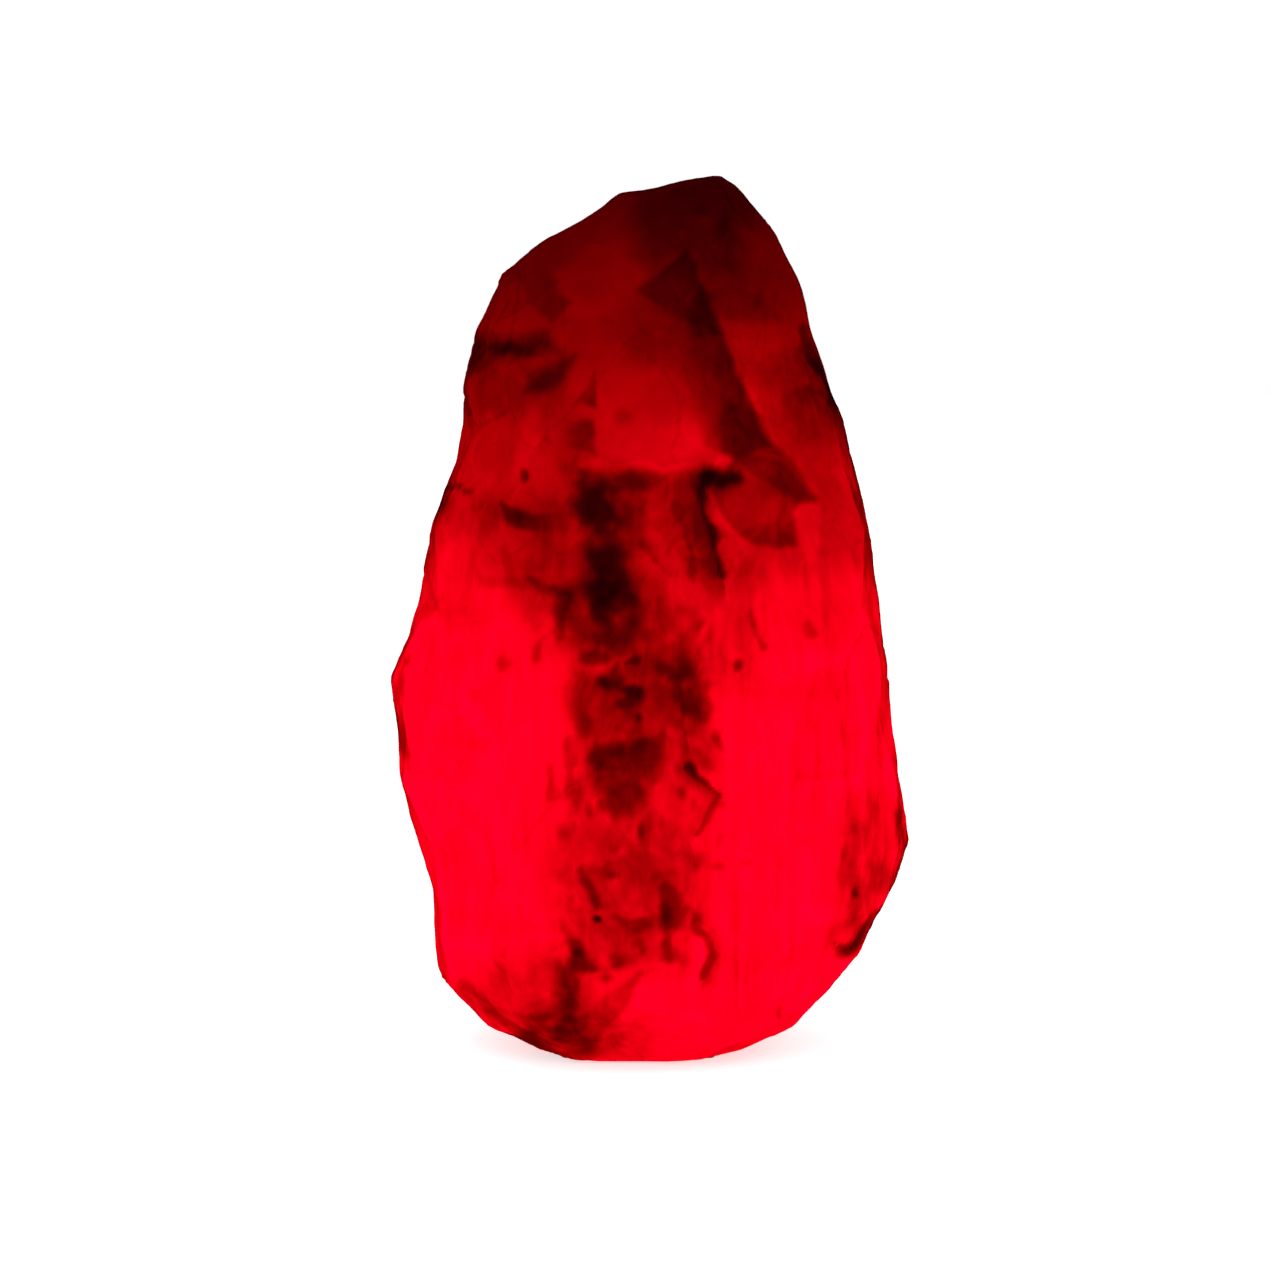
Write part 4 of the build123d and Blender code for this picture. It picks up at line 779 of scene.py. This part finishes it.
# finishes of the light unit and its small parts
# sizes in mm: grain is the size of the pattern along x, y and z, relief is how deep it is
finishes = {
    # moulded silicone rubber: near black, dull, with a dusty bloom
    "rubber_pad_moulded": {
        "pieces": ("foot_pads",), "colours": ("141413", "23221f"), "roughness": (0.74, 0.9),
        "grain": (0.5, 0.5, 0.5), "relief": 0.02,
    },
    # ABS moulded in a spark-eroded tool: charcoal, a fine even stipple that breaks up the shine
    "abs_moulded_stippled": {
        "pieces": ("base_plate",), "colours": ("1b1b1d", "29292b"), "roughness": (0.46, 0.66),
        "grain": (0.35, 0.35, 0.35), "relief": 0.03, "worn": "3a3a3c",
    },
    # translucent silicone seal: milky, slightly greasy
    "silicone_seal_milky": {
        "pieces": ("base_gasket",), "colours": ("b9b7ae", "cfcdc4"), "roughness": (0.38, 0.55),
        "grain": (1.2, 1.2, 1.2), "relief": 0.01,
    },
    # rolled spring steel: grey with fine lengthways rolling lines and a blue-brown cast from hardening
    "spring_steel_rolled": {
        "pieces": ("spring_clips",), "colours": ("6f6a66", "8b8b8f"), "roughness": (0.24, 0.4), "metal": 1.0,
        "grain": (0.2, 0.2, 5.0), "relief": 0.006, "worn": "7a6350",
    },
    # turned stainless screws: bright, with fine turning marks
    "stainless_turned": {
        "pieces": ("base_screws", "top_screws", "flap_pin"), "colours": ("8f9092", "b4b5b6"),
        "roughness": (0.2, 0.36), "metal": 1.0, "grain": (1.5, 0.12, 0.12), "relief": 0.006,
    },
    # polished stainless wire: bright, with hairline scratches from fingers
    "stainless_wire_polished": {
        "pieces": ("pull_ring",), "colours": ("a5a6a8", "c4c5c6"), "roughness": (0.1, 0.24), "metal": 1.0,
        "grain": (2.4, 0.1, 0.1), "relief": 0.003,
    },
    # soft-touch silicone key: dark grey, velvety, with a light bloom on the crown
    "silicone_key_soft": {
        "pieces": ("power_button",), "colours": ("303032", "404042"), "roughness": (0.62, 0.8),
        "grain": (0.3, 0.3, 0.3), "relief": 0.012, "worn": "4c4c4e",
    },
    # glass-filled nylon: black, with a faint fibrous streak
    "nylon_filled_black": {
        "pieces": ("switch_body", "switch_plunger"), "colours": ("111112", "1d1d1e"),
        "roughness": (0.4, 0.56), "grain": (0.15, 0.9, 0.15), "relief": 0.01,
    },
    # drawn and nickel-plated shell: smooth, a little yellow
    "nickel_shell_drawn": {
        "pieces": ("charging_socket",), "colours": ("8d8b86", "a9a7a1"), "roughness": (0.2, 0.34),
        "metal": 1.0, "grain": (0.3, 0.3, 2.0), "relief": 0.004,
    },
    # moulded rubber flap: black, matt, with a fine leathery skin
    "rubber_flap_moulded": {
        "pieces": ("socket_flap",), "colours": ("121213", "1f1f20"), "roughness": (0.66, 0.84),
        "grain": (0.6, 0.4, 0.4), "relief": 0.03,
    },
    # clear acrylic light guide: glassy, with slight flow lines
    "acrylic_clear_moulded": {
        "pieces": ("light_pipe",), "colours": ("f2f4f4", "ffffff"), "roughness": (0.03, 0.1),
        "grain": (0.8, 0.8, 2.5), "relief": 0.003, "clear": 0.9,
    },
    # green solder mask over glass cloth: the weave shows as a fine check
    "board_green_mask": {
        "pieces": ("charging_board",), "colours": ("0b3d20", "12552e"), "roughness": (0.26, 0.4),
        "grain": (1.6, 1.6, 1.6), "relief": 0.008, "weave": 0.45,
    },
    # epoxy chip packages: charcoal with mineral specks
    "epoxy_package": {
        "pieces": ("board_chips",), "colours": ("161617", "262627"), "roughness": (0.5, 0.7),
        "grain": (0.12, 0.12, 0.12), "relief": 0.006,
    },
    # natural nylon mouldings: creamy and slightly waxy
    "nylon_natural_moulded": {
        "pieces": ("column_foot", "column_plug"), "colours": ("c3beaf", "d8d4c8"), "roughness": (0.36, 0.5),
        "grain": (0.9, 0.9, 0.9), "relief": 0.01,
    },
    # nickel-plated contacts: warm silver with rolling lines
    "contact_nickel_rolled": {
        "pieces": ("negative_contact", "positive_contact", "cell_spring"), "colours": ("98948a", "b6b2a6"),
        "roughness": (0.18, 0.32), "metal": 1.0, "grain": (1.8, 0.15, 0.15), "relief": 0.004,
    },
    # shrunk PVC sleeve: blue, glossy, with slow ripples where it drew tight
    "pvc_sleeve_shrunk": {
        "pieces": ("battery_cell",), "colours": ("173a6b", "1f4a84"), "roughness": (0.2, 0.34),
        "grain": (4.0, 4.0, 1.2), "relief": 0.02,
    },
    # extruded aluminium tube: pale, with straight die lines along its length
    "aluminium_extruded": {
        "pieces": ("led_column",), "colours": ("a8a9ac", "c6c7c9"), "roughness": (0.28, 0.42), "metal": 1.0,
        "grain": (0.12, 0.12, 12.0), "relief": 0.006,
    },
    # white solder mask: bright and satin, weave just showing
    "board_white_mask": {
        "pieces": ("led_strips", "top_board"), "colours": ("d9d9d4", "efefec"), "roughness": (0.28, 0.42),
        "grain": (1.6, 1.6, 1.6), "relief": 0.006, "weave": 0.45,
    },
    # red LED packages: pinkish resin that burns red
    "led_resin_lit": {
        "pieces": ("column_leds", "top_leds"), "colours": ("c8464a", "ff7a70"), "roughness": (0.16, 0.3),
        "grain": (0.5, 0.5, 0.5), "relief": 0.004, "lit": ("ff0018", 3.0),
    },
    # PVC lead sleeves: deep red, smooth, with faint die marks
    "pvc_lead_sleeve": {
        "pieces": ("board_leads",), "colours": ("7d1414", "981b1b"), "roughness": (0.32, 0.46),
        "grain": (0.25, 0.25, 3.0), "relief": 0.005,
    },
}
handledSize = 7.0  # patches that hands and time leave, in mm
for name, finish in finishes.items():
    material, tree, shader, place = newMaterial(name)
    scaled = addNode(tree, "ShaderNodeVectorMath", {
        "operation": "MULTIPLY", 1: tuple(1 / (size * mm) for size in finish["grain"]),
    }, {0: place})
    grain = addNode(tree, "ShaderNodeTexNoise", {"Scale": 1.0, "Detail": 3.0}, {"Vector": scaled})
    handled = addNode(tree, "ShaderNodeTexNoise", {"Scale": 1 / (handledSize * mm), "Detail": 4.0},
                      {"Vector": place})
    handled = addNode(tree, "ShaderNodeMapRange", dict(zip(rangeEnds, (0.3, 0.7, 0.0, 0.5))),
                      {"Value": handled})
    blend = addNode(tree, "ShaderNodeMath", {"operation": "MULTIPLY_ADD", 1: 0.5}, {0: grain, 2: handled})
    tint = addNode(tree, "ShaderNodeValToRGB", {}, {0: blend})
    stops = [(0.3, linear(finish["colours"][0])), (0.7, linear(finish["colours"][1]))]
    if "worn" in finish:
        stops.append((0.86, linear(finish["worn"])))
    setStops(tint, stops)
    tree.links.new(tint.outputs[0], shader.inputs["Base Color"])
    bumpHeight = grain
    if "weave" in finish:
        # over and under of the glass cloth
        threads = addNode(tree, "ShaderNodeVectorMath", {
            "operation": "SCALE", "Scale": math.pi / (finish["weave"] * mm),
        }, {0: place})
        axes = addNode(tree, "ShaderNodeSeparateXYZ", {}, {0: threads}).outputs
        upright = addNode(tree, "ShaderNodeMath", {"operation": "ADD"}, {0: axes["Y"], 1: axes["Z"]})
        warp, weft = (addNode(tree, "ShaderNodeMath", {"operation": "SINE"}, {0: run})
                      for run in (axes["X"], upright))
        bumpHeight = addNode(tree, "ShaderNodeMath", {"operation": "MULTIPLY"}, {0: warp, 1: weft})
    gloss = addNode(tree, "ShaderNodeMapRange", dict(zip(rangeEnds, (0.25, 0.75, *finish["roughness"]))),
                    {"Value": blend})
    tree.links.new(gloss.outputs[0], shader.inputs["Roughness"])
    shader.inputs["Metallic"].default_value = finish.get("metal", 0.0)
    shader.inputs["Transmission Weight"].default_value = finish.get("clear", 0.0)
    if "lit" in finish:
        shader.inputs["Emission Color"].default_value = linear(finish["lit"][0])
        shader.inputs["Emission Strength"].default_value = finish["lit"][1]
    relief = addNode(tree, "ShaderNodeBump", {"Strength": 0.6, "Distance": finish["relief"] * mm},
                     {"Height": bumpHeight})
    tree.links.new(relief.outputs[0], shader.inputs["Normal"])
    for piece in finish["pieces"]:
        for slot in nodes[piece].material_slots:
            slot.material = material
print("finishes:", len(finishes))

# opal polycarbonate tube, lit: the red lamps behind it show as soft blooms in six upright rows
diffuser = {
    "colour": "b04c48",
    "dim": "b00010",
    "bright": "ff2438",
    "glow": 0.9,
    "rows": 6,
    "firstLamp": 25.8,
    "lampPitch": 10.6,
    "cloud": 2.5,
}
material, tree, shader, place = newMaterial("polycarbonate_opal_lit")
axes = addNode(tree, "ShaderNodeSeparateXYZ", {}, {0: place}).outputs
sideways = addNode(tree, "ShaderNodeMath", {"operation": "SUBTRACT", 1: unitAxis * mm}, {0: axes["X"]})
angle = addNode(tree, "ShaderNodeMath", {"operation": "ARCTAN2"}, {0: axes["Y"], 1: sideways})
rowPhase = addNode(tree, "ShaderNodeMath", {"operation": "MULTIPLY", 1: float(diffuser["rows"])}, {0: angle})
turnsPerMetre = 2 * math.pi / (diffuser["lampPitch"] * mm)
levelPhase = addNode(tree, "ShaderNodeMath", {
    "operation": "MULTIPLY_ADD", 1: turnsPerMetre, 2: -diffuser["firstLamp"] * mm * turnsPerMetre,
}, {0: axes["Z"]})
cloudy = addNode(tree, "ShaderNodeTexNoise", {"Scale": 1 / (diffuser["cloud"] * mm), "Detail": 3.0},
                 {"Vector": place})
bloom = addNode(tree, "ShaderNodeMapRange", dict(zip(rangeEnds, (0.3, 0.7, 0.93, 1.05))), {"Value": cloudy})
for phase, faintest in ((rowPhase, 0.35), (levelPhase, 0.6)):
    wave = addNode(tree, "ShaderNodeMath", {"operation": "COSINE"}, {0: phase})
    wave = addNode(tree, "ShaderNodeMapRange", dict(zip(rangeEnds, (-1, 1, faintest, 1.0))), {"Value": wave})
    bloom = addNode(tree, "ShaderNodeMath", {"operation": "MULTIPLY"}, {0: bloom, 1: wave})
glowColour = addNode(tree, "ShaderNodeValToRGB", {}, {0: bloom})
setStops(glowColour, [(0.1, linear(diffuser["dim"])), (1.0, linear(diffuser["bright"]))])
tree.links.new(glowColour.outputs[0], shader.inputs["Emission Color"])
shader.inputs["Emission Strength"].default_value = diffuser["glow"]
shader.inputs["Base Color"].default_value = linear(diffuser["colour"])
gloss = addNode(tree, "ShaderNodeMapRange", dict(zip(rangeEnds, (0.3, 0.7, 0.36, 0.5))), {"Value": cloudy})
tree.links.new(gloss.outputs[0], shader.inputs["Roughness"])
for slot in nodes["diffuser"].material_slots:
    slot.material = material
print("diffuser lit")

# studio: pale floor, white all round, soft light
studio = {
    "floorSide": 6.0,
    "floorColour": "f2f2f2",
    "floorLift": 0.6,
    "roomLevel": 0.8,
    "lampSize": 1.4,
    "lamps": {"key": ((-0.9, -1.1, 1.3), 9.0), "fill": ((1.2, -0.7, 0.8), 6.0)},  # places and watts
}
bpy.ops.object.select_all(action="DESELECT")
bpy.ops.mesh.primitive_plane_add(size=studio["floorSide"], location=(0, 0, 0))
floor = bpy.context.object
floor.name = "floor"
# matt white paper: even and bright, with the soft shadow of what stands on it
material, tree, shader, place = newMaterial("studio_paper")
shader.inputs["Base Color"].default_value = linear(studio["floorColour"])
shader.inputs["Roughness"].default_value = 0.9
shader.inputs["Specular IOR Level"].default_value = 0.1
shader.inputs["Emission Color"].default_value = (1, 1, 1, 1)


def seenDirectly():
    # 1 for what the camera, a gloss or a clear part sees
    path = addNode(tree, "ShaderNodeLightPath", {}, {})
    first = addNode(tree, "ShaderNodeMath", {"operation": "MAXIMUM"},
                    {0: path.outputs["Is Camera Ray"], 1: path.outputs["Is Glossy Ray"]})
    return addNode(tree, "ShaderNodeMath", {"operation": "MAXIMUM"},
                   {0: first, 1: path.outputs["Is Transmission Ray"]})


lift = addNode(tree, "ShaderNodeMapRange", {"To Max": studio["floorLift"]}, {"Value": seenDirectly()})
tree.links.new(lift.outputs[0], shader.inputs["Emission Strength"])
# seen from below the paper isn't there, so that the underside of the lamp can be looked at
fromBelow = addNode(tree, "ShaderNodeNewGeometry", {}, {}).outputs["Backfacing"]
gone = addNode(tree, "ShaderNodeBsdfTransparent", {}, {})
sheet = addNode(tree, "ShaderNodeMixShader", {}, {0: fromBelow, 1: shader, 2: gone})
output = next(node for node in tree.nodes if node.type == "OUTPUT_MATERIAL")
tree.links.new(sheet.outputs[0], output.inputs["Surface"])
floor.data.materials.append(material)

world = bpy.data.worlds.new("studio")
bpy.context.scene.world = world
world.use_nodes = True
tree = world.node_tree
tree.nodes.clear()
level = addNode(tree, "ShaderNodeMapRange", {"To Min": studio["roomLevel"]}, {"Value": seenDirectly()})
background = addNode(tree, "ShaderNodeBackground", {"Color": (1, 1, 1, 1)}, {"Strength": level})
addNode(tree, "ShaderNodeOutputWorld", {}, {"Surface": background})

for name, (spot, power) in studio["lamps"].items():
    lampData = bpy.data.lights.new(name, "AREA")
    lampData.energy = power
    lampData.size = studio["lampSize"]
    lamp = bpy.data.objects.new(name, lampData)
    lamp.location = spot
    lamp.rotation_euler = (view["target"] - Vector(spot)).to_track_quat("-Z", "Y").to_euler()
    bpy.context.scene.collection.objects.link(lamp)

bpy.context.scene.view_settings.view_transform = "Standard"
bpy.ops.object.select_all(action="DESELECT")
